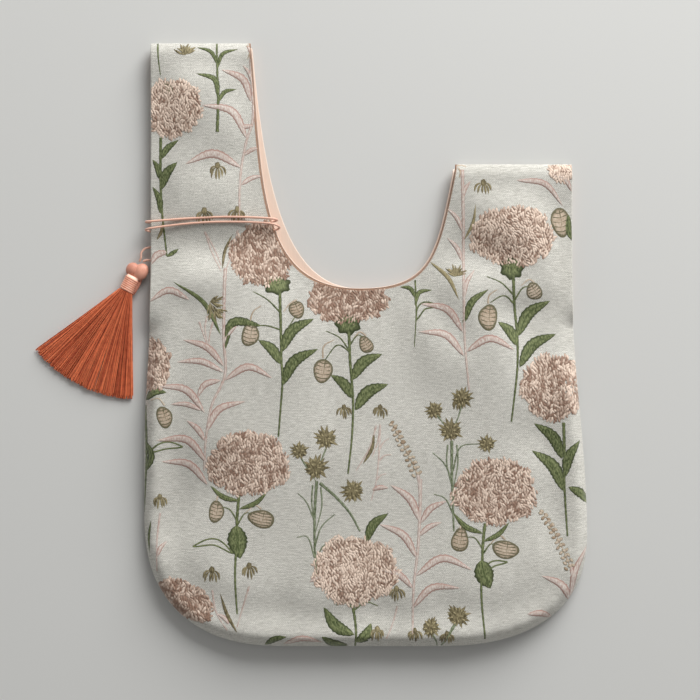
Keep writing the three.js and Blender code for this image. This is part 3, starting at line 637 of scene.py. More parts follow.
def settleFront():
    scale = settle["scale"]
    points, faces, depth, count = clothPlan(outlineOf(settle["step"]), settle["step"])
    keep = [i for i in range(len(points)) if depth[i] in (0, rimSteps[-1], farIn)]
    index = {i: k for k, i in enumerate(keep)}
    last = (len(rimSteps) - 1) * count
    coarse = [(i, (i + 1) % count, last + (i + 1) % count, last + i) for i in range(count)]
    coarse += [face for face in faces if len(face) == 3]
    coarse = [tuple(index[i] for i in face) for face in coarse]
    flat = points[keep]
    height = frontUnder(flat)
    mesh = bpy.data.meshes.new("settling")
    mesh.from_pydata([tuple(p) for p in np.column_stack([flat, height]) * scale], [], coarse)
    cloth = shown("settling", mesh)
    pins = cloth.vertex_groups.new(name="seams")
    pins.add([index[i] for i in range(count)], 1, "REPLACE")
    modifier = cloth.modifiers.new("cloth", "CLOTH")
    for label, value in settle["cloth"].items():
        setattr(modifier.settings, label, value)
    modifier.settings.shrink_min = -settle["spare"]
    modifier.settings.uniform_pressure_force = settle["press"]
    modifier.settings.effector_weights.gravity = 0
    modifier.collision_settings.use_collision = False
    modifier.point_cache.frame_start = 1
    modifier.point_cache.frame_end = settle["frames"]
    scene = bpy.context.scene
    for frameNumber in range(1, settle["frames"] + 1):
        scene.frame_set(frameNumber)
    settled = cloth.evaluated_get(bpy.context.evaluated_depsgraph_get()).to_mesh()
    after = np.empty(len(settled.vertices) * 3)
    settled.vertices.foreach_get("co", after)
    bpy.data.objects.remove(cloth)
    scene.frame_set(1)
    lift = after.reshape(-1, 3)[:, 2] / scale - height
    # Its folds are kept, and its broad dome is left to the plain form.
    near = np.exp(-((flat[:, None] - flat[None]) ** 2).sum(2) / (2 * settle["broad"] ** 2))
    lift = (lift - near @ lift / near.sum(1)) * settle["strength"]
    print("settled front: lift", lift.min().round(2), lift.max().round(2), "mm")
    return flat, lift.clip(-settle["most"], settle["most"])


print("settling the front")
settledAt, settledLift = settleFront()


def figuredClothFinish():
    look = {
        "dark": (157, 154, 144),
        "light": (242, 240, 232),
        "reverse": (146, 108, 82),  # a brown tint for the outermost rim along the neckline
        "warpEvery": 0.62,
        "weftEvery": 0.5,
        "twillEvery": 0.95,
        "twillSlant": 0.8,
        "uneven": 5.0,
        "mottles": [((0.62, 0.56), 1.5), ((4.4, 0.8), 0.8), ((60, 60), 0.3)],  # blots, and how strong; the broad 60 mm blots are painted soft light and shade across the cloth
    }
    sockets = {"Roughness": 0.82, "Sheen Weight": 0.12, "Specular IOR Level": 0.3}
    material, tree, shader = newFinish("figuredGroundCloth", sockets)
    do = partial(calc, tree)
    layout = ownLayout(tree)
    split = node(tree, "ShaderNodeSeparateXYZ", {0: layout}).outputs
    push = do("MULTIPLY", noise(tree, layout, 260.0), look["uneven"])

    def threads(axis, every):  # rounded threads that run across an axis
        turn = do("MULTIPLY_ADD", split[axis], math.pi / (every * mm), push)
        return do("ABSOLUTE", do("SINE", turn))

    # Twill: fine slanting ridges over the crossing threads.
    slant = do("MULTIPLY_ADD", split[0], look["twillSlant"], split[1])
    ridge = do("SINE", do("MULTIPLY_ADD", slant, 2 * math.pi / (look["twillEvery"] * mm), push))
    crossed = do("MULTIPLY", threads(0, look["warpEvery"]), threads(1, look["weftEvery"]))
    height = do("MULTIPLY_ADD", ridge, 0.3, do("MULTIPLY_ADD", crossed, 0.4, 0.3))
    # The tone follows the weave's height: the thread crowns are painted lighter and the hollows between them
    # darker, as shade.
    tone = do("MULTIPLY", height, 0.3)
    # The broad blots paint soft light and shade over the cloth; the finer ones are its grain.
    for (across, along), strength in look["mottles"]:
        grain = noise(tree, stretched(tree, layout, (1 / (across * mm), 1 / (along * mm), 1)), 1.0)
        tone = do("ADD", tone, do("MULTIPLY_ADD", grain, strength, -0.5 * strength))
    tone = do("ADD", tone, 0.32)
    woven = blended(tree, tone, paint(*look["dark"]), paint(*look["light"]))
    # The outermost rim along the neckline is tinted brown.
    toned = blended(tree, ownValue(tree, "neckEdge"), woven, paint(*look["reverse"]))
    dress(tree, shader, toned, height, 0.5, 0.0002)
    return material


def satinFinish():
    look = {"dark": (228, 200, 180), "light": (250, 230, 214), "weave": (1700, 120, 1), "clouds": 30.0}
    sockets = {"Roughness": 0.38, "Sheen Weight": 0.25, "Anisotropic": 0.5}
    material, tree, shader = newFinish("peachSatinLining", sockets)
    layout = ownLayout(tree)
    fine = noise(tree, stretched(tree, layout, look["weave"]), 1.0)
    # The broad clouds mix in the lighter satin colour as painted sheen; the fine streaks are the satin's own
    # weave.
    cloud = noise(tree, layout, look["clouds"])
    tone = calc(tree, "MULTIPLY_ADD", fine, 0.5, calc(tree, "MULTIPLY", cloud, 0.5))
    shade = blended(tree, tone, paint(*look["dark"]), paint(*look["light"]))
    dress(tree, shader, shade, fine, 0.2, 0.00012)
    return material


print("panels and linings")
figuredCloth = figuredClothFinish()
satin = satinFinish()
panelStep, liningStep = 2.2, 4
backStep = panelStep + 0.6
liningMargins = {"seam": 3, "open": 0.6, "top": 3, "neck": -0.9}
liningRoll = 0.7  # how far the front lining comes up beside the panel's edge
backThick = lie["thick"] - lie["underFigures"]


def neckEdge(plan, peek):  # 1 on the outermost rim along the neckline
    near = nearestOn(neckPath(peek, 0), plan[0])[0]
    return {"neckEdge": np.where(near < 1.0, 1 - smoothStep(plan[2], 0.25, 1.2), 0)}


peek = cut["backNeckPeek"]
frontPlan = clothPlan(outlineOf(panelStep), panelStep)
middle = frontUnder(frontPlan[0]) + lie["thick"] / 2
frontPanel = clothSheet("frontPanel", frontPlan, middle, lie["thick"], figuredCloth, neckEdge(frontPlan, 0))
backPlan = clothPlan(outlineOf(panelStep, peek=peek), backStep)
middle = backOver(backPlan[0]) - backThick / 2
backPanel = clothSheet("backPanel", backPlan, middle, backThick, figuredCloth, neckEdge(backPlan, peek))

frontLiningPlan = clothPlan(outlineOf(panelStep, **liningMargins), liningStep)
flat = frontLiningPlan[0]
panelRim = closedLoop(outlineOf(panelStep))
beyond = np.where(insideOf(panelRim, flat), 0, nearestOn(panelRim, flat)[0])
roll = liningRoll * smoothStep(beyond, 0.1, 0.5)
middle = frontUnder(flat) - lie["layerGap"] - lie["liningThick"] / 2 + roll
frontLining = clothSheet("frontLining", frontLiningPlan, middle, lie["liningThick"], satin)
backLiningPlan = clothPlan(outlineOf(panelStep, peek=peek, **liningMargins), liningStep)
middle = backOver(backLiningPlan[0]) + lie["layerGap"] + lie["liningThick"] / 2
backLining = clothSheet("backLining", backLiningPlan, middle, lie["liningThick"], satin)


def threadFinish(look):
    # The figure's own values shade it: edge is 0 in the middle and 1 at the rim, and shade
    # differs from figure to figure.
    look = {**plainFloats, **look}
    sockets = {"Roughness": 0.7, "Sheen Weight": 0.2, "Specular IOR Level": 0.35}
    material, tree, shader = newFinish(look["name"], sockets)
    place = node(tree, "ShaderNodeTexCoord").outputs["Object"]
    edge = ownValue(tree, "edge")
    stitch = noise(tree, stretched(tree, place, look["stitch"], look["turn"]), 1.0)
    blot = noise(tree, place, look["blots"])
    speckle = ranged(tree, stitch, 0.36, 0.66)
    varied = calc(tree, "MULTIPLY", ownValue(tree, "shade"), look["vary"])
    tone = calc(tree, "MULTIPLY_ADD", speckle, look["speckle"], varied)
    tone = calc(tree, "ADD", tone, calc(tree, "MULTIPLY_ADD", blot, 0.5, -0.2))
    fill = blended(tree, tone, paint(*look["dark"]), paint(*look["light"]))
    if "rib" in look:
        fill = blended(tree, ranged(tree, edge, 0.03, 0.16, 0.6, 0.0), fill, paint(*look["rib"]))
    ragged = calc(tree, "ADD", edge, calc(tree, "MULTIPLY_ADD", stitch, 0.5, -0.25))
    rim = ranged(tree, ragged, *look["rimSpan"], 0.0, look["rim"])
    dress(tree, shader, blended(tree, rim, fill, paint(*look["outline"])), stitch, 0.6, 0.0002)
    return material


plainFloats = {  # what the finishes below share where they don't say otherwise
    "stitch": (1300, 560, 1),
    "turn": 0.5,
    "blots": 330.0,
    "speckle": 0.85,
    "vary": 0.4,
    "rim": 0.9,
    "rimSpan": (0.55, 0.85),
}
floatLooks = {
    "flower": {
        "name": "beigeFlowerFloats",
        "slot": "flower_thread",
        "dark": (146, 116, 98),
        "light": (232, 210, 192),
        "outline": (120, 94, 76),
        "speckle": 0.25,
        "vary": 0.85,
        "rimSpan": (0.7, 1.1),
    },
    "leaf": {
        "name": "sageLeafFloats",
        "slot": "leaf_thread",
        "dark": (46, 58, 18),
        "light": (136, 144, 98),
        "outline": (44, 54, 20),
        "rib": (66, 80, 38),
        "vary": 0.2,
    },
    "stalk": {
        "name": "greyGreenStalkFloats",
        "slot": "leaf_thread",
        "dark": (70, 82, 48),
        "light": (150, 158, 130),
        "outline": (70, 78, 46),
        "vary": 0.2,
        "rim": 0.7,
    },
    "seed": {
        "name": "oliveSeedFloats",
        "slot": "seed_thread",
        "dark": (68, 58, 32),
        "light": (168, 156, 118),
        "outline": (70, 62, 36),
        "speckle": 0.6,
        "vary": 0.5,
        "rim": 0.6,
    },
    "sprig": {
        "name": "dustyPinkSprigFloats",
        "slot": "sprig_thread",
        "dark": (182, 152, 140),
        "light": (220, 212, 203),
        "outline": (160, 120, 108),
        "turn": -0.9,
        "speckle": 0.95,
        "vary": 0.15,
        "rim": 0.85,
        "rimSpan": (0.5, 0.75),
    },
    "bud": {
        "name": "paleBudFloats",
        "slot": "flower_thread",
        "dark": (160, 138, 114),
        "light": (214, 198, 178),
        "outline": (86, 84, 54),
        "speckle": 0.6,
        "rimSpan": (0.7, 0.84),
    },
}
floatsOf = {kind: threadFinish(look) for kind, look in floatLooks.items()}

# The figures are drawn flat on the weaver's draft, in its squares, and then laid on the cloth.
square = 0.57
draftMiddle = (365.75, 345)
sunk = 0.04  # how deep the rims of the figures sink into the cloth


def onDraft(u, v):
    return np.array([(u - draftMiddle[0]) * square, (draftMiddle[1] - v) * square])


def newFigure():
    return {"points": [], "faces": [], "layout": [], "edge": [], "shade": []}


def addGrid(figure, rows, layout, edge, shade, closed=False):
    start, lanes = len(figure["points"]), rows.shape[1]
    figure["points"] += rows.reshape(-1, 3).tolist()
    figure["layout"] += layout.reshape(-1, 2).tolist()
    figure["edge"] += list(edge.ravel())
    figure["shade"] += [shade] * (len(rows) * lanes)
    figure["faces"] += gridFaces(len(rows), lanes, closed, start)
    return start


def strip(figure, path, halfWidths, crown, lanes, edge=None, shade=None, lift=0):
    # A ribbon of floats along a path; its rims sink into the cloth.
    way = np.gradient(path, axis=0)
    way /= np.hypot(*way.T)[:, None] + 1e-9
    side = np.column_stack([way[:, 1], -way[:, 0]])
    wide = np.asarray(halfWidths, float) * np.ones(len(path))
    lane = np.array(lanes, float)
    flatPlace = path[:, None] + side[:, None] * (wide[:, None] * lane)[..., None]
    height = crown * np.sqrt(1 - lane**2)[None] * np.minimum(1, wide[:, None] / 0.6) - sunk + lift
    rows = np.concatenate([flatPlace, height[..., None]], axis=2)
    run = np.broadcast_to(lengthAlong(path)[:, None], height.shape)
    layout = np.stack([run, wide[:, None] * lane], axis=2) * mm
    edges = np.broadcast_to(np.abs(lane) if edge is None else edge, height.shape)
    shade = random.random() if shade is None else shade
    addGrid(figure, rows[:, ::-1], layout[:, ::-1], edges[:, ::-1], shade)


def drafted(spots, step):  # a smooth line through places on the draft
    return evenly(rounded([onDraft(*spot) for spot in spots]), step)


def bowed(root, tip, bend):  # a bent line from one place on the draft to another
    a, b = onDraft(*root), onDraft(*tip)
    run = b - a
    curve = rounded([a, (a + b) / 2 + np.array([run[1], -run[0]]) * bend, b])
    path = evenly(curve, 1.1)
    return path if len(path) >= 6 else evenly(curve, math.hypot(*run) / 6)


def stem(figure, spots, wide, tip=0.55):
    path = drafted(spots, 1.3)
    share = np.linspace(0, 1, len(path))
    wobble = 1 + 0.12 * np.sin(share * len(path) * 1.9 + random.random() * 6)
    strip(figure, path, wide / 2 * mix(1, tip, share) * wobble, 0.24, (-1, -0.6, 0, 0.6, 1))


def leaf(figure, root, tip, wide, bend, belly=0.45, lift=0, shade=None):
    path = bowed(root, tip, bend)
    t = np.linspace(0, 1, len(path))
    shape = np.sin(math.pi * t ** (math.log(0.5) / math.log(belly))) ** 0.8
    notch = 1 + 0.09 * np.sin(t * len(path) * 2.4 + random.random() * 6)
    half = np.maximum(0.12, wide / 2 * shape * notch)
    strip(figure, path, half, 0.3, (-1, -0.72, -0.25, 0, 0.25, 0.72, 1), shade=shade, lift=lift)


def outlineLeaf(figure, root, tip, wide, bend, line=1.05):  # only the leaf's two edges are woven
    path = bowed(root, tip, bend)
    way = np.gradient(path, axis=0)
    side = np.column_stack([way[:, 1], -way[:, 0]]) / np.hypot(*way.T)[:, None]
    bulge = np.sin(math.pi * np.linspace(0, 1, len(path))) ** 0.85 * (wide - line) / 2
    shade = random.random()
    for sign in (-1, 1):
        edge = path + side * (sign * bulge)[:, None]
        strip(figure, edge, line / 2, 0.2, (-1, -0.5, 0, 0.5, 1), shade=shade)


def dome(figure, centre, rim, rings, crown, edges, shade):  # rings of floats from the middle to a rim
    rows = []
    for ring in rings:
        height = np.full(len(rim), crown * math.sqrt(1 - ring**2) - sunk)
        rows.append(np.column_stack([centre + rim * max(ring, 0.02), height]))
    rows = np.array(rows)
    edges = np.broadcast_to(np.array(edges)[:, None], rows.shape[:2])
    start = addGrid(figure, rows, (rows[..., :2] - centre) * mm, edges, shade, closed=True)
    figure["faces"].append(tuple(start + k for k in range(len(rim))))


def patch(figure, spot, across, high, turn=0, lobes=0, depth=0.08, crown=0.3, point=0, shade=None):
    # A rounded patch of floats, such as a bud or the green under a head. Sizes are in squares.
    angle = roundTurn(28)
    reach = 1 + depth * np.cos(lobes * angle + random.random() * 6) if lobes else np.ones(len(angle))
    reach = reach + point * np.maximum(0, np.cos(angle - math.pi / 2)) ** 6
    x, y = across * square * np.cos(angle) * reach, high * square * np.sin(angle) * reach
    rings = (0, 0.3, 0.55, 0.75, 0.9, 1)
    shade = random.random() if shade is None else shade
    dome(figure, onDraft(*spot), np.column_stack(turned(x, y, turn)), rings, crown, rings, shade)


def bud(figure, spot, across, high, turn=0):
    patch(figure, spot, across, high, turn, lobes=3, depth=0.06, point=0.1)
    c, s = math.cos(math.radians(turn)), math.sin(math.radians(turn))

    def line(places):
        ends = [(spot[0] + c * x - s * y, spot[1] - (s * x + c * y)) for x, y in places]
        strip(figure, drafted(ends, 1.0), 0.3, 0.16, (-1, 0, 1), edge=1.0, lift=0.24)

    for up in (-0.62, -0.3, 0.02, 0.34, 0.64):  # inner lines
        reach = 0.8 * math.sqrt(1 - up * up)
        line([(across * reach * t, high * (up + 0.12 * t * t)) for t in (-0.9, 0, 0.9)])
    line([(across * 0.1, high * t) for t in (-0.2, 0.3, 0.8)])


def awayFrom(spot, angle, reach):  # a place on the draft, by its turn from straight up
    return spot[0] + reach * math.sin(angle), spot[1] - reach * math.cos(angle)


def brush(figure, spot, size, turn=0, count=15):  # a bristly head that opens one way
    for k in range(count):
        angle = math.radians(turn + (k * 137.5 % 150) - 75)
        root = awayFrom(spot, angle, size * 0.3 * (k % 3) / 2)
        tip = awayFrom(root, angle, size * 0.7)
        leaf(figure, root, tip, 1.3, random.uniform(-0.1, 0.1), 0.5, lift=0.04 * (k % 3))


def tuft(figure, spot, size, turn):  # a small drooping head of narrow bracts
    top = (spot[0], spot[1] - size * 0.45)
    for k in range(6):
        aside = k - 2.5
        angle = math.radians(turn + aside * 16 + random.uniform(-4, 4))
        reach = size * random.uniform(0.85, 1.15) * (1 - 0.05 * abs(aside))
        leaf(figure, top, awayFrom(top, angle, reach), 1.45, 0.09 * aside, 0.6)
    patch(figure, (spot[0], spot[1] - size * 0.42), size * 0.2, size * 0.26, lobes=5)


def thistle(figure, spot, size):  # the round core of a seed head, with short bracts round it
    patch(figure, spot, size * 0.7, size * 0.62, lobes=9, depth=0.12, crown=0.4, shade=0.1)
    for k in range(9):
        angle = 2.4 * k
        near = size * 0.5 * math.sqrt((k + 0.5) / 9)
        root = (spot[0] + near * math.cos(angle), spot[1] - near * math.sin(angle))
        tip = (root[0] + 3.4 * math.cos(angle), root[1] - 3.4 * math.sin(angle))
        leaf(figure, root, tip, 1.2, 0, 0.5, lift=0.3, shade=1.1)


def beadSpike(figure, spots):  # small speckles crowded along a thin stalk
    stem(figure, spots, 0.9)
    path = drafted(spots, 1.05)
    for k, (x, y) in enumerate(path):
        swell = 1 - 0.5 * k / len(path)
        aside = (-1, 0.15, 1)[k % 3] * 4.2 * swell + random.uniform(-0.8, 0.8)
        spot = (x / square + draftMiddle[0] + aside, draftMiddle[1] - y / square + 0.25 * abs(aside))
        turn = random.uniform(-50, 50)
        patch(figure, spot, 2.5, 1.6, turn, crown=0.34, shade=random.choice([-1.1, 0.2, 0.7, 0.9]))


def headPlan(spot, across, high, turn, seed):  # the flat ground of a flower head
    draw = random.Random(seed)
    angle = roundTurn(66)
    reach = 1 + 0.03 * np.cos(draw.randint(17, 21) * angle)
    for waves, depth in ((3, 0.025), (5, 0.03), (9, 0.03)):
        reach = reach + depth * np.cos(waves * angle + draw.random() * 6)
    x, y = across * square * np.cos(angle) * reach, high * square * np.sin(angle) * reach
    y = np.where(y < 0, y * 0.93, y)
    rings = np.array([0.02, 0.15, 0.3, 0.45, 0.6, 0.74, 0.86, 0.95, 1])
    figure = newFigure()
    rim = np.column_stack(turned(x, y, turn))
    dome(figure, onDraft(*spot), rim, rings, 0.12, mix(0.7, 1.0, rings), 0.0)
    return figure


def parked(name, points, faces, finish, edges):  # a small mesh that only the trees below use
    made = newMesh(name, points, faces, finish, [p[:2] for p in points], {"edge": edges})
    bpy.context.scene.collection.objects.unlink(made)
    return made


def petalMesh():
    rings, sides = ((0, 0.26), (0.66, 0.18), (1, -0.02)), 7
    points, edges = [(0, 0, rings[0][1])], [0.0]
    for ring, height in rings[1:]:
        for k in range(sides):
            turn = 2 * math.pi * k / sides
            longer = 1 + 0.12 * math.cos(turn)
            points.append((ring * math.cos(turn) * longer, ring * math.sin(turn), height))
            edges.append(ring)
    faces = [(0, 1 + k, 1 + (k + 1) % sides) for k in range(sides)]
    faces += [(a, d, c, b) for a, b, c, d in gridFaces(len(rings) - 1, sides, start=1)]
    return parked("petal", points, faces, floatsOf["flower"], edges)


def spikeMesh():
    foot = [(-0.14, 0.3, 0.1), (0.14, 0.3, 0.1), (0, 0.35, 0.3)]
    waist = [(-0.09, 0.75, 0.06), (0.09, 0.75, 0.06), (0, 0.75, 0.2)]
    faces = [(3, 5, 2, 0), (5, 4, 1, 2), (6, 5, 3), (6, 4, 5)]
    edges = [0.8, 0.8, 0.3, 0.8, 0.8, 0.3, 0.7]
    return parked("spike", [*foot, *waist, (0, 1.02, 0.0)], faces, floatsOf["seed"], edges)


def floretTree():  # petals strewn over the ground of a head
    floats = ["Spacing", "Length", "Width", "Wave", "Clumps", "Palest", "Darkest"]
    kinds = {"Object": ["Petal"], "Float": floats, "Int": ["Seed"], "Material": ["Floats"]}
    tree, given = newTree("floretField", kinds)
    do = partial(calc, tree)
    place = node(tree, "GeometryNodeInputPosition").outputs[0]
    inputs = {"Mesh": given["Geometry"], "Distance Min": given["Spacing"], "Density Max": 4.0}
    inputs["Seed"] = given["Seed"]
    strewn = node(tree, "GeometryNodeDistributePointsOnFaces", inputs, distribute_method="POISSON")

    def draw(low, high, number):
        return chance(tree, low, high, do("ADD", given["Seed"], number))

    def drift(scale):  # differs from place to place and from head to head
        inputs = {"Vector": place, "W": given["Seed"], "Scale": scale, "Detail": 1.0}
        return node(tree, "ShaderNodeTexNoise", inputs, noise_dimensions="4D").outputs[0]

    # The floats run up and down in waves, and neighbours are alike in shade.
    lean = do("MULTIPLY_ADD", drift(given["Wave"]), 4.4, 0.5 * math.pi - 2.2)
    turn = do("ADD", lean, draw(-0.45, 0.45, 3))
    offset = {"Geometry": strewn.outputs[0], "Offset": combined(tree, z=draw(0.0, 0.1, 5))}
    lifted = node(tree, "GeometryNodeSetPosition", offset).outputs[0]
    size = draw(0.8, 1.2, 7)
    long, wide = do("MULTIPLY", size, given["Length"]), do("MULTIPLY", size, given["Width"])
    petals = placedOn(tree, lifted, objectIn(tree, given["Petal"]), turn, long, wide)
    clumps = do("MULTIPLY_ADD", drift(given["Clumps"]), 2.6, -1.3)
    shade = do("ADD", draw(given["Darkest"], given["Palest"], 11), clumps)
    shaded = stored(tree, petals, "shade", shade)
    return endTree(tree, together(tree, given["Geometry"], shaded), given["Floats"])


def burrTree():  # seed heads with spikes all round
    kinds = {"Object": ["Spike"], "Int": ["Spikes", "Seed"], "Material": ["Floats"]}
    tree, given = newTree("burrs", kinds)
    do = partial(calc, tree)

    def draw(low, high, number):
        return chance(tree, low, high, do("ADD", given["Seed"], number))

    ring = node(tree, "GeometryNodeMeshCircle", {"Vertices": given["Spikes"], "Radius": 0.001}).outputs[0]
    index = node(tree, "GeometryNodeInputIndex").outputs[0]
    share = do("DIVIDE", do("MULTIPLY", index, 2 * math.pi), given["Spikes"])
    turn = do("ADD", share, draw(-0.2, 0.2, 1))
    crown = placedOn(tree, ring, objectIn(tree, given["Spike"]), turn, 1.0, draw(0.7, 1.12, 2))
    shaded = stored(tree, crown, "shade", draw(0.0, 1.0, 6))
    burr = node(tree, "GeometryNodeRealizeInstances", {"Geometry": shaded}).outputs[0]
    size = named(tree, "size")
    strewn = placedOn(tree, given["Geometry"], burr, draw(0.0, 6.28, 4), size, size)
    return endTree(tree, strewn, given["Floats"])


def laid(piece, side):  # lays a flat figure on the front or the back, and cuts it at the rim
    mesh = piece.data
    place = np.empty(len(mesh.vertices) * 3)
    mesh.vertices.foreach_get("co", place)
    place = place.reshape(-1, 3)
    if side == "back":
        place[:, 0] *= -1
    flat = place[:, :2]

    def depthOf(points):  # how far inside the rim, negative outside
        away = nearestOn(rimOf[side], points)[0]
        return np.where(insideOf(rimOf[side], points), away, -away)

    away = depthOf(flat)
    outside = away < -laying["cutBeyond"]
    near = np.flatnonzero((away < laying["drawIn"]) & ~outside)
    if len(near):  # draw in what lies on the rim
        spots, step = flat[near], 0.02
        moves = ([step, 0], [0, step])
        slope = [(depthOf(spots + move) - depthOf(spots - move)) / (2 * step) for move in moves]
        flat[near] = spots + np.column_stack(slope) * (laying["drawIn"] - away[near])[:, None]
        away[near] = laying["drawIn"]
    bend = laying["bend"]
    drop = bend - np.sqrt(bend * bend - (bend - np.clip(away, 0, bend)) ** 2)
    if side == "front":
        place[:, 2] += frontUnder(flat) + lie["thick"] - drop
    else:
        relief = place[:, 2] * laying["backRelief"]
        place[:, 2] = backOver(flat) - backThick + drop * laying["backBend"] - relief
    place[:, :2] = flat
    mesh.vertices.foreach_set("co", (place * mm).ravel())
    shell = bmesh.new()
    shell.from_mesh(mesh)
    shell.verts.ensure_lookup_table()
    bmesh.ops.delete(shell, geom=[v for v, out in zip(shell.verts, outside) if out], context="VERTS")
    bmesh.ops.delete(shell, geom=[v for v in shell.verts if not v.link_faces], context="VERTS")
    shell.normal_update()
    wrong = [f for f in shell.faces if (f.normal.z < 0) == (side == "front")]
    bmesh.ops.reverse_faces(shell, faces=wrong)
    shell.to_mesh(mesh)
    shell.free()
    mesh.polygons.foreach_set("use_smooth", [True] * len(mesh.polygons))
    return piece


def figureMesh(figure, name, finish):
    values = {label: figure[label] for label in ("edge", "shade")}
    return newMesh(name, figure["points"], figure["faces"], floatsOf[finish], figure["layout"], values)


laying = {"cutBeyond": 0.45, "drawIn": 0.3, "bend": 0.6, "backBend": 0.6, "backRelief": 0.5}
rimOf = {"front": closedLoop(outlineOf(3)), "back": closedLoop(outlineOf(3, peek=peek))}

florets = {"Spacing": 1.22, "Length": 1.45, "Width": 0.74, "Wave": 0.17, "Clumps": 0.3}
heads = {  # place on the draft, half width and half height in squares, turn, shades, and its solid. The shades are partly the heads' own colours and partly painted light: paler for the heads by the handles' tops and at the bottom, darker for those just below the neck.
    "flowerHeadHandle": ((172, 110), 31, 30, 0, (0.05, 1.45), "flower_head_handle"),
    "flowerHeadShoulder": ((262, 256), 32, 33, 0, (-0.35, 0.85), "flower_head_shoulder"),
    "flowerHeadNeck": ((348, 299), 40, 27, 0, (-0.45, 0.65), "flower_head_neck"),
    "flowerHeadShort": ((512, 238), 42, 31, 0, (0.05, 1.25), "flower_head_short"),
    "flowerHeadLeft": ((149, 366), 23, 28, 0, (-0.1, 1.1), "flower_head_left"),
    "flowerHeadLowLeft": ((249, 464), 41, 33, 0, (-0.05, 1.05), "flower_head_low_left"),
    "flowerHeadRight": ((553, 388), 34, 34, 0, (-0.2, 1.05), "flower_head_right"),
    "flowerHeadBottom": ((355, 570), 43, 35, 0, (0.05, 1.45), "flower_head_bottom"),
    "flowerHeadLowRight": ((494, 492), 42, 34, 0, (-0.1, 1.1), "flower_head_low_right"),
    "flowerHeadCorner": ((187, 599), 31, 17, -32, (-0.45, 0.8), "flower_head_corner"),
    "flowerHeadEdge": ((562, 172), 14, 12, 0, (0.5, 1.3), None),
}
petal = petalMesh()
floretField = floretTree()


def flowerHead(name, spot, across, high, turn, shades, seed, side):
    ground = figureMesh(headPlan(spot, across, high, turn, seed), name + "Ground", "flower")
    darkest, palest = shades
    own = {"Petal": petal, "Darkest": darkest, "Palest": palest, "Seed": seed, "Floats": floatsOf["flower"]}
    return laid(finished(ground, name, floretField, {**florets, **own}), side)


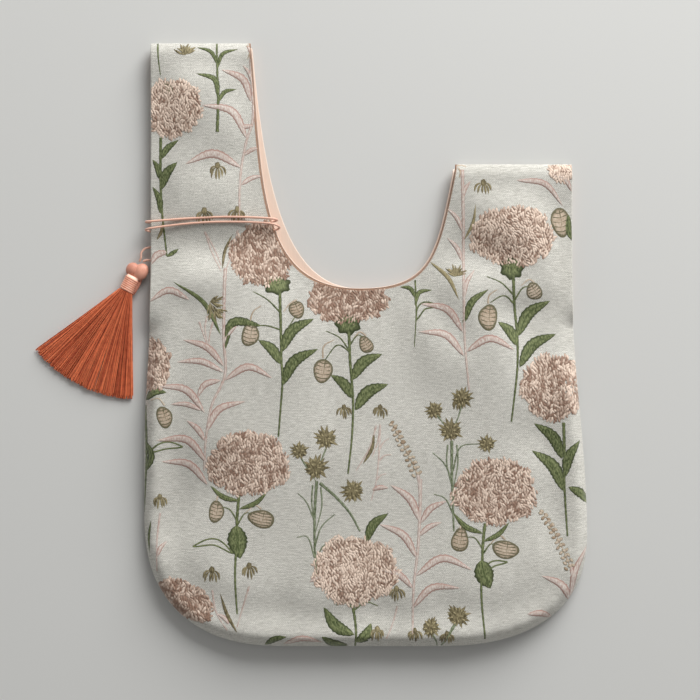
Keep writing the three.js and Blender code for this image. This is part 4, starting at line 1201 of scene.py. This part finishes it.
# Each drawing gives places on the draft: lines for stems, roots and tips for leaves.
drawings = {
    "leafyStemShoulder": {
        "finish": "leaf",
        "stands": "leafy_stem_shoulder",
        "stems": [[(280, 286), (281, 320), (282, 360), (283, 380), (281, 410), (279, 436)]],
        "thin": [
            [(281, 330), (268, 326), (255, 326)], [(282, 345), (290, 326), (296, 316)],
            [(280, 312), (268, 300), (254, 292)],
        ],
        "leaves": [
            ((282, 352), (314, 319), 7.1, -0.16), ((283, 385), (318, 349), 7.1, -0.16),
            ((281, 364), (259, 340), 6.4, 0.12), ((262, 326), (226, 350), 5.4, 0.42),
        ],
        "patches": [((277, 285), 14, 10)],
    },
    "leafyStemNeck": {
        "finish": "leaf",
        "stands": "leafy_stem_neck",
        "stems": [[(348, 322), (349, 335), (350, 360), (353, 400), (352, 435), (348, 473)]],
        "thin": [
            [(350, 352), (338, 345), (325, 360)], [(350, 345), (358, 335), (364, 338)],
            [(350, 352), (340, 338), (326, 331)],
        ],
        "leaves": [
            ((352, 380), (382, 354), 7.3, -0.15), ((355, 410), (388, 384), 7.6, -0.15),
            ((352, 398), (331, 375), 6.6, 0.12),
        ],
        "patches": [((348, 324), 13, 11)],
    },
    "leafyStemShort": {
        "finish": "leaf",
        "stands": "leafy_stem_short",
        "stems": [[(512, 265), (513, 300), (516, 335), (516, 365), (513, 395), (510, 421)]],
        "thin": [
            [(514, 305), (503, 296), (489, 303)], [(514, 300), (522, 288), (531, 287)],
            [(513, 296), (500, 283), (486, 277)],
        ],
        "leaves": [
            ((517, 336), (549, 301), 7.3, -0.15), ((518, 367), (555, 334), 7.3, -0.15),
            ((516, 346), (497, 322), 6.4, 0.12), ((568, 215), (572, 241), 5.0, 0.1),
        ],
        "patches": [((511, 268), 12, 12)],
    },
    "leafyStemLowLeft": {
        "finish": "leaf",
        "stands": "leafy_stem_low_left",
        "stems": [[(240, 492), (238, 515), (237, 545), (236, 575), (238, 612)]],
        "thin": [[(238, 520), (230, 508), (221, 506)], [(238, 524), (246, 512), (252, 512)]],
        "outlines": [((234, 552), (194, 545), 4.6, 0.2)],
        "leaves": [
            ((240, 500), (211, 485), 3.4, -0.12), ((240, 508), (268, 491), 3.2, 0.1),
            ((237, 524), (241, 557), 12.0, 0.02),
        ],
    },
    "leafyStemLowRight": {
        "finish": "leaf",
        "stands": "leafy_stem_low_right",
        "stems": [[(484, 522), (482, 540), (481, 560), (480, 590), (484, 637)]],
        "thin": [[(482, 548), (473, 536), (464, 536)], [(482, 552), (490, 542), (494, 545)]],
        "outlines": [((481, 575), (506, 560), 4.0, -0.2)],
        "leaves": [
            ((482, 532), (452, 511), 3.6, -0.12), ((482, 540), (508, 521), 3.2, 0.1),
            ((480, 558), (489, 586), 11.5, 0.05),
        ],
    },
    "leafyStemRight": {
        "finish": "leaf",
        "stands": "leafy_stem_right",
        "stems": [[(562, 422), (563, 450), (563, 480), (566, 535)]],
        "leaves": [
            ((561, 458), (533, 423), 7.1, 0.14), ((562, 490), (531, 450), 7.6, 0.14),
            ((564, 476), (579, 440), 6.1, -0.12), ((567, 486), (590, 505), 5.4, -0.1),
        ],
    },
    "leafyStemBottom": {
        "finish": "leaf",
        "stands": "leafy_stem_bottom",
        "stems": [[(352, 600), (355, 618), (356, 632), (355, 646)]],
        "thin": [[(353, 606), (344, 600), (336, 603)], [(354, 608), (366, 600), (378, 604)]],
        "leaves": [
            ((354, 632), (324, 605), 7.3, -0.14), ((356, 640), (371, 621), 6.4, 0.12),
            ((348, 645), (322, 634), 6.1, -0.1), ((366, 541), (388, 512), 5.9, -0.14),
        ],
    },
    "handleLeaves": {
        "finish": "leaf",
        "stands": None,
        "stems": [
            [(218, 133), (219, 100), (218, 75), (217, 44)],
            [(161, 138), (161, 175), (162, 205), (165, 238), (167, 256)],
            [(145, 405), (147, 450), (144, 512)],
        ],
        "thin": [
            [(158, 44), (159, 60), (161, 76)], [(415, 280), (416, 310), (414, 347)],
            [(462, 322), (476, 300), (487, 290)],
        ],
        "outlines": [((150, 452), (184, 446), 5.0, -0.12), ((416, 320), (438, 306), 5.0, -0.3)],
        "leaves": [
            ((219, 100), (197, 75), 3.4, 0.3), ((219, 104), (237, 90), 2.6, -0.2),
            ((218, 66), (198, 48), 2.4, 0.2), ((218, 70), (238, 50), 2.4, -0.25),
            ((161, 160), (179, 141), 4.2, -0.1), ((162, 190), (178, 163), 6.0, -0.12),
            ((160, 180), (153, 160), 4.0, 0.1), ((161, 214), (153, 187), 4.2, 0.1),
            ((167, 257), (179, 249), 2.8, 0), ((222, 335), (174, 282), 2.9, 0.12),
            ((146, 400), (168, 392), 4.6, -0.2), ((147, 470), (146, 440), 4.4, 0.2),
            ((415, 298), (400, 287), 2.8, 0.25), ((415, 306), (432, 290), 2.8, -0.3),
            ((464, 322), (487, 290), 4.4, -0.15), ((265, 644), (287, 634), 4.0, -0.1),
            ((152, 520), (150, 551), 1.4, 0.05),
        ],
    },
    "oliveBlades": {
        "finish": "seed",
        "stands": None,
        "leaves": [
            ((223, 269), (233, 234), 1.9, -0.08), ((464, 240), (475, 205), 1.9, 0.08),
            ((363, 463), (374, 430), 2.2, 0.1), ((238, 630), (221, 591), 2.2, -0.05),
            ((430, 262), (458, 300), 2.6, -0.1), ((157, 240), (163, 222), 2.0, 0.1),
        ],
        "brushes": [((211, 302), 15, 130), ((216, 310), 13, 160), ((455, 277), 13, 12), ((186, 56), 13, 0)],
        "tufts": [
            ((218, 172), 14, 180), ((205, 218), 15, 178), ((238, 216), 14, 186), ((483, 189), 14, 182),
            ((161, 501), 12, 180), ((213, 574), 14, 184), ((250, 570), 14, 176), ((396, 592), 13, 180),
            ((377, 632), 13, 180), ((414, 633), 12, 180), ((380, 412), 12, 186), ((344, 412), 12, 176),
            ((446, 636), 12, 180), ((458, 404), 11, 180),
        ],
    },
    "seedStalks": {
        "finish": "stalk",
        "stands": None,
        "stems": [
            [(317, 480), (315, 510), (315, 545), (317, 576)],
            [(320, 482), (336, 496), (350, 512), (360, 530)],
            [(451, 440), (451, 470), (452, 500), (453, 530)], [(455, 620), (448, 632), (441, 645)],
        ],
        "thin": [
            [(326, 448), (321, 462), (318, 478)], [(302, 458), (308, 468), (316, 480)],
            [(313, 484), (312, 500), (315, 524)], [(321, 486), (322, 505), (316, 530)],
            [(315, 520), (306, 500), (298, 492)], [(315, 556), (307, 535), (297, 536)],
            [(315, 545), (322, 525), (335, 513)], [(316, 560), (324, 544), (338, 540)],
            [(461, 404), (457, 418), (452, 428)], [(436, 414), (442, 422), (449, 430)],
            [(447, 444), (446, 462), (451, 486)], [(456, 444), (457, 462), (452, 490)],
            [(452, 470), (460, 446), (478, 443)], [(452, 480), (443, 462), (432, 452)],
            [(452, 512), (444, 497), (433, 493)], [(452, 500), (458, 486), (468, 478)],
            [(432, 632), (436, 640), (437, 646)],
        ],
    },
    "seedStemLeft": {
        "finish": "seed",
        "stands": "seed_stem_left",
        "burrs": [((326, 438), 13), ((300, 450), 10), ((316, 467), 14), ((353, 490), 13)],
    },
    "seedStemRight": {
        "finish": "seed",
        "stands": "seed_stem_right",
        "burrs": [((450, 430), 13), ((486, 443), 10), ((461, 398), 12), ((434, 410), 10)],
    },
    "seedStemBottom": {
        "finish": "seed",
        "stands": "seed_stem_bottom",
        "burrs": [((457, 614), 13), ((430, 625), 11)],
    },
    "pinkSprigHandle": {
        "finish": "sprig",
        "stands": "pink_sprig_handle",
        "stems": [[(251, 60), (253, 120), (247, 140), (242, 165), (240, 190), (240, 216)]],
        "leaves": [
            ((251, 102), (222, 71), 4.6, 0.22), ((247, 139), (203, 107), 4.8, 0.24),
            ((241, 168), (186, 165), 5.3, 0.22), ((241, 128), (254, 126), 2.8, 0),
            ((244, 156), (260, 148), 2.6, -0.1), ((241, 186), (263, 176), 2.9, -0.1),
            ((252, 84), (243, 66), 2.2, 0.1),
        ],
    },
    "pinkSprigLeft": {
        "finish": "sprig",
        "stands": "pink_sprig_left",
        "stems": [[(226, 268), (225, 300), (225, 340), (226, 375), (213, 405), (207, 440), (205, 470)]],
        "leaves": [
            ((190, 300), (150, 302), 4.2, 0.26), ((225, 366), (184, 340), 4.3, 0.14),
            ((225, 372), (178, 362), 4.0, 0.12), ((222, 380), (198, 398), 3.8, 0.2),
            ((206, 412), (158, 386), 4.6, 0.2), ((203, 410), (172, 404), 3.1, 0.1),
            ((207, 432), (246, 401), 4.5, -0.2), ((226, 380), (273, 378), 4.5, -0.26),
            ((206, 440), (188, 420), 3.6, 0.1), ((208, 462), (158, 440), 4.8, 0.24),
            ((208, 484), (163, 461), 4.8, 0.2), ((225, 344), (238, 326), 2.9, -0.1),
        ],
    },
    "pinkSprigNeck": {
        "finish": "sprig",
        "stands": "pink_sprig_neck",
        "stems": [[(462, 170), (463, 240), (463, 300), (464, 345), (468, 390)]],
        "leaves": [
            ((462, 332), (420, 304), 4.6, 0.2), ((463, 356), (418, 332), 4.6, 0.2),
            ((465, 352), (513, 350), 4.6, -0.26), ((462, 262), (447, 238), 2.8, 0.1),
            ((462, 232), (446, 208), 2.6, 0.1), ((462, 200), (470, 182), 2.6, -0.1),
            ((463, 300), (474, 270), 2.6, -0.1), ((516, 181), (562, 206), 3.6, -0.2),
            ((552, 176), (571, 192), 3.4, -0.2),
        ],
    },
    "pinkSprigMiddle": {
        "finish": "sprig",
        "stands": "pink_sprig_middle",
        "stems": [[(420, 478), (419, 520), (417, 550), (413, 585), (412, 632)]],
        "leaves": [
            ((419, 520), (390, 484), 4.8, 0.14), ((416, 556), (379, 523), 4.8, 0.16),
            ((412, 586), (380, 568), 4.0, 0.14), ((420, 522), (446, 500), 4.0, -0.14),
            ((418, 535), (441, 521), 3.3, -0.1), ((415, 574), (471, 568), 4.8, -0.26),
            ((412, 606), (459, 586), 4.5, -0.22),
        ],
    },
    "pinkSprays": {
        "finish": "sprig",
        "stands": None,
        "stems": [[(569, 562), (571, 580), (572, 602)], [(417, 472), (419, 486), (420, 500)]],
        "thin": [
            [(380, 424), (379, 450), (376, 480), (371, 500)], [(378, 451), (384, 441), (389, 438)],
            [(379, 460), (384, 455), (391, 454)], [(376, 479), (381, 474), (386, 473)],
            [(205, 232), (214, 248), (222, 266)], [(205, 232), (212, 252), (222, 272)],
            [(238, 230), (232, 254), (226, 272)], [(213, 588), (217, 610), (228, 628)],
            [(250, 584), (244, 604), (238, 625)], [(397, 604), (392, 622), (386, 636)],
            [(376, 425), (370, 446), (356, 470)], [(380, 424), (378, 440), (372, 456)],
            [(418, 478), (419, 500), (418, 520)], [(161, 512), (158, 540), (158, 570)],
            [(208, 316), (206, 328), (209, 345)], [(200, 322), (204, 333), (209, 347)],
            [(214, 322), (211, 334), (210, 347)],
        ],
        "leaves": [
            ((372, 489), (388, 487), 3.0, -0.1), ((168, 252), (151, 265), 4.2, 0.2),
            ((253, 58), (247, 46), 3.0, 0.1), ((571, 602), (540, 574), 4.5, 0.16),
            ((570, 600), (588, 544), 4.0, -0.1), ((526, 612), (553, 618), 3.8, -0.14),
            ((284, 642), (322, 640), 3.6, -0.14), ((158, 556), (168, 540), 2.6, -0.1),
            ((230, 622), (218, 612), 2.6, 0.1), ((325, 575), (310, 580), 2.6, 0.1),
        ],
    },
    "cornerThreads": {
        "finish": "bud",
        "stands": None,
        "thin": [
            [(247, 46), (250, 52), (248, 60)], [(250, 45), (252, 56), (250, 66)],
            [(457, 166), (461, 165), (466, 167)], [(458, 168), (460, 172), (459, 178)],
        ],
    },
    "buds": {
        "finish": "bud",
        "stands": None,
        "thin": [
            [(251, 322), (254, 312), (262, 306)], [(297, 300), (290, 304), (284, 312)],
            [(323, 358), (324, 346), (334, 340)], [(366, 336), (360, 332), (354, 338)],
            [(487, 304), (488, 296), (496, 290)], [(533, 283), (528, 280), (520, 286)],
            [(217, 500), (220, 494), (230, 500)], [(262, 508), (256, 504), (246, 512)],
            [(459, 527), (462, 522), (472, 530)], [(504, 538), (498, 534), (488, 544)],
            [(166, 405), (160, 398), (152, 400)],
        ],
        "spikes": [
            [(417, 474), (410, 458), (402, 442), (392, 422)],
            [(569, 566), (560, 545), (551, 527), (541, 510)],
        ],
        "buds": [
            ((251, 335), 9, 12, -10), ((297, 310), 8, 9, 20), ((323, 371), 10, 12, -8),
            ((366, 345), 7, 9, 30), ((487, 318), 10, 13, -6), ((533, 292), 8, 9, 30),
            ((560, 223), 10, 15, 10), ((217, 511), 8, 11, -8), ((262, 518), 14, 9, -12),
            ((459, 539), 9, 12, -8), ((504, 548), 14, 9, -10), ((166, 417), 8, 11, 15),
            ((168, 90), 6, 7, 0),
        ],
    },
}
spike = spikeMesh()
burrField = burrTree()
strokes = {  # in this order, so that each takes the same random draws
    "stems": lambda figure, spots: stem(figure, spots, 2.0),
    "thin": lambda figure, spots: stem(figure, spots, 1.15),
    "spikes": beadSpike,
    "outlines": lambda figure, item: outlineLeaf(figure, *item),
    "leaves": lambda figure, item: leaf(figure, *item),
    "brushes": lambda figure, item: brush(figure, *item),
    "patches": lambda figure, item: patch(figure, *item, lobes=7, depth=0.12),
    "buds": lambda figure, item: bud(figure, *item),
    "tufts": lambda figure, item: tuft(figure, *item),
    "burrs": lambda figure, item: thistle(figure, *item),
}


def drawn(name, drawing, side):
    figure = newFigure()
    for kind, stroke in strokes.items():
        for item in drawing.get(kind, []):
            stroke(figure, item)
    made = figureMesh(figure, name, drawing["finish"])
    if "burrs" in drawing:
        spots, sizes = zip(*drawing["burrs"])
        places = [(*onDraft(*spot), 0) for spot in spots]
        finish = floatsOf["seed"]
        seeds = newMesh(name + "Burrs", places, [], finish, None, {"size": [size * square for size in sizes]})
        inputs = {"Spike": spike, "Spikes": 19, "Seed": len(places), "Floats": finish}
        made = joined([made, finished(seeds, name + "Spikes", burrField, inputs)], name)
    return laid(made, side)


def joined(parts, name):
    shell = bmesh.new()
    shell.loops.layers.uv.new("threads")
    for part in parts:
        if not part.data.uv_layers:
            part.data.uv_layers.new(name="threads")
        shell.from_mesh(part.data)
    mesh = bpy.data.meshes.new(name)
    shell.to_mesh(mesh)
    shell.free()
    for material in parts[0].data.materials:
        mesh.materials.append(material)
    for part in parts:
        bpy.data.objects.remove(part)
    return shown(name, mesh)


notOnBack = ("flowerHeadHandle", "cornerThreads")  # mirrored, they would lie outside its outline
woven = []  # piece, slot and the solid that it stands for
for side in ("front", "back"):  # both are cut from the same cloth, and show the same figures
    back = side == "back"
    own = lambda name: "back" + name[0].upper() + name[1:] if back else name
    print("flower heads of the", side)
    for seed, (name, (*plan, stands)) in enumerate(heads.items(), 20 if back else 0):
        if not (back and name in notOnBack):
            piece = flowerHead(own(name), *plan, seed, side)
            woven.append((piece, floatLooks["flower"]["slot"], None if back else stands))
    print("stems, leaves, seed heads and sprigs of the", side)
    for name, drawing in drawings.items():
        if not (back and name in notOnBack):
            piece = drawn(own(name), drawing, side)
            slot = floatLooks[drawing["finish"]]["slot"]
            woven.append((piece, slot, None if back else drawing["stands"]))

print("tassel")
tassel = {
    "root": (-136.9, 30.8),
    "turn": -27,
    "skirtLength": 60.5,
    "spread": 27.0,
    "apex": 8.26,
    "rootHalf": 3.5,
    "tipHalf": 1.15,
    "tipHeight": 1.5,
    "threads": 820,
    "steps": 14,
    "threadRadius": 0.23,
    "locks": 13,
    "clump": 0.2,
    "bindingLength": 9,
    "bindingRadius": 4.3,
    "bindingTurns": 8,
    "bindingFlat": 0.88,
    "offFloor": 0.4,
    "coreInset": 0.45,
    "bulbs": [  # centre, radius, stretch, flatness, ridges, lean, shade
        ((-2.3, 8.6, 0), 3.7, 1.1, 0.85, 22, 0.0, 0.35),
        ((2.2, 8.2, 0.1), 4.2, 1.25, 0.85, 22, 0.06, 0.55),
        ((4.3, -0.6, -0.9), 1.35, 4.6, 0.9, 8, 0.0, 0.2),  # the lock that passes beside the binding
    ],
}
tasselZ = tassel["bindingRadius"] * tassel["bindingFlat"] + tassel["offFloor"]


def silkFinish(name, dark, light, rough):
    sockets = {"Roughness": rough, "Sheen Weight": 0.04, "Specular IOR Level": 0.28}
    material, tree, shader = newFinish(name, sockets)
    wear = noise(tree, node(tree, "ShaderNodeTexCoord").outputs["Object"], 420.0, 3.0)
    toned = calc(tree, "MULTIPLY_ADD", wear, 0.5, -0.05)
    tone = calc(tree, "MULTIPLY_ADD", ownValue(tree, "shade"), 0.75, toned)
    dress(tree, shader, blended(tree, tone, paint(*dark), paint(*light)), wear, 0.3, 0.0001)
    return material


# The skirt's threads draw random shades between these colours; the spread from deep red to light coral is
# painted highlight and shade between the locks, scattered at random over the threads.
coralSilk = silkFinish("coralTasselSilk", (130, 16, 0), (255, 146, 98), 0.45)
peachSilk = silkFinish("peachBindingThread", (236, 150, 118), (255, 244, 226), 0.28)
headSilk = silkFinish("duskyHeadSilk", (134, 46, 26), (255, 190, 164), 0.34)


def onTassel(mesh):  # from the tassel's own place to the bag's, in metres
    move = Matrix.Translation((*[v * mm for v in tassel["root"]], 0))
    turn = Matrix.Rotation(math.radians(tassel["turn"]), 4, "Z")
    mesh.transform(move @ turn @ Matrix.Scale(mm, 4))
    mesh.update()


def skirtTree():
    ends = ["Root half", "Tip half", "Root height", "Tip height"]
    floats = ["Length", "Apex", "Spread", *ends, "Locks", "Clump", "Thread radius"]
    kinds = {"Int": ["Threads", "Steps"], "Float": floats, "Material": ["Silk"]}
    tree, given = newTree("tasselThreads", kinds)
    do = partial(calc, tree)
    line = node(tree, "GeometryNodeCurvePrimitiveLine").outputs[0]
    thread = node(tree, "GeometryNodeResampleCurve", {"Curve": line, "Count": given["Steps"]}).outputs[0]
    row = node(tree, "GeometryNodeMeshLine", {"Count": given["Threads"]}).outputs[0]
    made = node(tree, "GeometryNodeInstanceOnPoints", {"Points": row, "Instance": thread}).outputs[0]
    draws = {"across": (-1.0, 1.0), "layer": (-1.0, 1.0), "shade": (0.0, 1.0)}
    draws |= {"reach": (0.955, 1.0), "phase": (0.0, 6.28)}
    for seed, (label, (low, high)) in enumerate(draws.items()):
        made = stored(tree, made, label, chance(tree, low, high, 31 + seed))
    made = node(tree, "GeometryNodeRealizeInstances", {"Geometry": made}).outputs[0]
    down = node(tree, "GeometryNodeSplineParameter").outputs["Factor"]

    def between(a, b, share):
        return do("ADD", do("MULTIPLY", a, do("SUBTRACT", 1.0, share)), do("MULTIPLY", b, share))

    across = named(tree, "across")
    lock = do("DIVIDE", do("ROUND", do("MULTIPLY", across, given["Locks"])), given["Locks"])
    gather = do("MULTIPLY", given["Clump"], down)
    across = do("ADD", across, do("MULTIPLY", do("SUBTRACT", lock, across), gather))
    wave = do("SINE", do("MULTIPLY_ADD", down, 5.0, named(tree, "phase")))
    across = do("MULTIPLY_ADD", do("MULTIPLY", wave, down), 0.012, across)
    turn = do("MULTIPLY", across, given["Spread"])
    reach = do("MULTIPLY_ADD", do("MULTIPLY", given["Length"], named(tree, "reach")), down, given["Apex"])
    x = do("MULTIPLY", reach, do("SINE", turn))
    y = do("MULTIPLY", do("SUBTRACT", given["Apex"], reach), do("COSINE", turn))
    bulge = do("SQRT", do("SUBTRACT", 1.0, do("MULTIPLY", do("MULTIPLY", across, across), 0.9)))
    half = between(given["Root half"], given["Tip half"], do("POWER", down, 0.6))
    layer = do("MULTIPLY", named(tree, "layer"), do("MULTIPLY", half, bulge))
    z = do("ADD", between(given["Root height"], given["Tip height"], down), layer)
    place = {"Geometry": made, "Position": combined(tree, x, y, z)}
    fan = node(tree, "GeometryNodeSetPosition", place).outputs[0]
    return endTree(tree, threadAlong(tree, fan, given["Thread radius"], 4), given["Silk"])


skirt = {
    "Threads": tassel["threads"],
    "Steps": tassel["steps"],
    "Length": tassel["skirtLength"],
    "Apex": tassel["apex"],
    "Spread": math.radians(tassel["spread"]),
    "Root half": tassel["rootHalf"],
    "Tip half": tassel["tipHalf"],
    "Root height": tasselZ,
    "Tip height": tassel["tipHeight"],
    "Locks": float(tassel["locks"]),
    "Clump": tassel["clump"],
    "Thread radius": tassel["threadRadius"],
    "Silk": coralSilk,
}
tasselSkirt = finished(newMesh("skirtSeed", [(0, 0, 0)], [], coralSilk), "tasselSkirt", skirtTree(), skirt)
onTassel(tasselSkirt.data)


def bindingTree():
    kinds = {"Float": ["Turns", "Radius", "Height", "Thread radius"], "Material": ["Silk"]}
    tree, given = newTree("woundThread", kinds)
    inputs = {"Resolution": 28, "Rotations": given["Turns"], "Height": given["Height"]}
    inputs |= {"Start Radius": given["Radius"], "End Radius": given["Radius"]}
    coil = node(tree, "GeometryNodeCurveSpiral", inputs).outputs[0]
    wound = threadAlong(tree, coil, given["Thread radius"], 7)
    return endTree(tree, together(tree, given["Geometry"], wound), given["Silk"])


def coreMesh(radius, length, sides=28):  # what the binding is wound on
    turns = [2 * math.pi * k / sides for k in range(sides)]
    points = [(radius * math.cos(t), radius * math.sin(t), z) for z in (0, length) for t in turns]
    return points, gridFaces(2, sides) + endCaps(2, sides)


pitch = tassel["bindingLength"] / tassel["bindingTurns"]
core = coreMesh(tassel["bindingRadius"] - tassel["coreInset"], tassel["bindingLength"] - 0.1)
binding = {
    "Turns": float(tassel["bindingTurns"]) - 1,
    "Radius": tassel["bindingRadius"] - 0.5 * pitch,
    "Height": tassel["bindingLength"] - pitch,
    "Thread radius": 0.56 * pitch,
    "Silk": peachSilk,
}
bindingCore = newMesh("bindingCore", *core, peachSilk, None, {"shade": [0.5] * len(core[0])})
tasselBinding = finished(bindingCore, "tasselBinding", bindingTree(), binding)
# The coil's axis is turned along the tassel and it is flattened a little where it lies.
tasselBinding.data.transform(
    Matrix.Translation((0, 0.5 * pitch, tasselZ))
    @ Matrix.Diagonal((1, 1, tassel["bindingFlat"], 1))
    @ Matrix.Rotation(math.radians(-90), 4, "X")
)
onTassel(tasselBinding.data)


def threadBulb(centre, radius, stretch, flat, ridges, lean):
    # A bulb of looped threads: ridges run from its foot over its top.
    turn = roundTurn(ridges * 4)
    rows, edges, layout = [], [], []
    for share in np.arange(17) / 16:
        polar = math.pi * mix(0.015, 0.985, share)
        groove = np.abs(np.cos(turn * ridges / 2 + polar * 0.7))
        reach = radius * math.sin(polar) * (0.9 + 0.1 * groove**0.6)
        y = radius * stretch * (1 - math.cos(polar))
        x = centre[0] + lean * y + reach * np.cos(turn)
        z = tasselZ + centre[2] + flat * reach * np.sin(turn)
        rows.append(np.column_stack([x, np.full(len(turn), centre[1] + y), z]))
        edges.append(1 - groove)
        layout.append(np.column_stack([turn, np.full(len(turn), polar)]))
    return np.array(rows), np.array(layout), np.array(edges)


head = newFigure()
for *bulb, shade in tassel["bulbs"]:
    rows, layout, edges = threadBulb(*bulb)
    start = addGrid(head, rows, layout, edges, shade, closed=True)
    head["faces"] += endCaps(*rows.shape[:2], start)
# The grooves between the ridges are painted darker and the ridge crests lighter, as shade.
shades = np.clip(np.array(head["shade"]) + 0.35 - 0.7 * np.array(head["edge"]), 0, 1)
tasselHead = newMesh(
    "tasselHead", head["points"], head["faces"], headSilk, head["layout"], {"shade": shades}
)
outward = bmesh.new()
outward.from_mesh(tasselHead.data)
bmesh.ops.recalc_face_normals(outward, faces=outward.faces)
outward.to_mesh(tasselHead.data)
outward.free()
onTassel(tasselHead.data)

print("floor and light")
room = {
    "floor": (214, 214, 211),
    "floorHalf": 3,
    "tint": (1.0, 0.995, 0.985, 1),
    "level": (0.62, 0.17),  # at the horizon and overhead
    "overheadFrom": 0.9,
    "toward": (0.02, 0.06),  # how much brighter along x and y
    "least": 0.05,
    "window": {"place": (0.85, 1.75, 0.98), "size": 1.5, "power": 69.0},
}
floorFinish = newFinish("palePlainFloor", {"Base Color": paint(*room["floor"]), "Roughness": 0.6})[0]
corners = [(x * room["floorHalf"], y * room["floorHalf"], 0) for x, y in ((-1, -1), (1, -1), (1, 1), (-1, 1))]
floor = newMesh("floor", corners, [(0, 1, 2, 3)], floorFinish)
world = bpy.data.worlds.new("softRoom")
world.use_nodes = True
sky = world.node_tree
way = node(sky, "ShaderNodeSeparateXYZ", {0: node(sky, "ShaderNodeTexCoord").outputs["Generated"]}).outputs
level = ranged(sky, way[2], 0.0, room["overheadFrom"], *room["level"])
for axis, more in enumerate(room["toward"]):
    level = calc(sky, "MULTIPLY_ADD", way[axis], more, level)
strength = calc(sky, "MAXIMUM", level, room["least"])
sky.links.new(strength, sky.nodes["Background"].inputs[1])
sky.nodes["Background"].inputs[0].default_value = room["tint"]
bpy.context.scene.world = world
lampData = bpy.data.lights.new("window", "AREA")
lampData.shape = "SQUARE"
lampData.size = room["window"]["size"]
lampData.energy = room["window"]["power"]
lamp = shown("window", lampData)
lamp.location = room["window"]["place"]
lamp.rotation_euler = (-lamp.location).to_track_quat("-Z", "Y").to_euler()

for piece, slot, stands in [
    (frontPanel, "ground_cloth", "front_panel"),
    (backPanel, "ground_cloth", "back_panel"),
    (frontLining, "satin_lining", "front_lining"),
    (backLining, "satin_lining", "back_lining"),
    (hangingCord, "cord_satin", "hanging_cord"),
    (tasselHead, "tassel_thread", "tassel_head"),
    (tasselBinding, "binding_thread", "tassel_binding"),
    (tasselSkirt, "tassel_thread", "tassel_skirt"),
    *woven,
]:
    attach(piece, "root")
    if stands:
        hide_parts(stands)
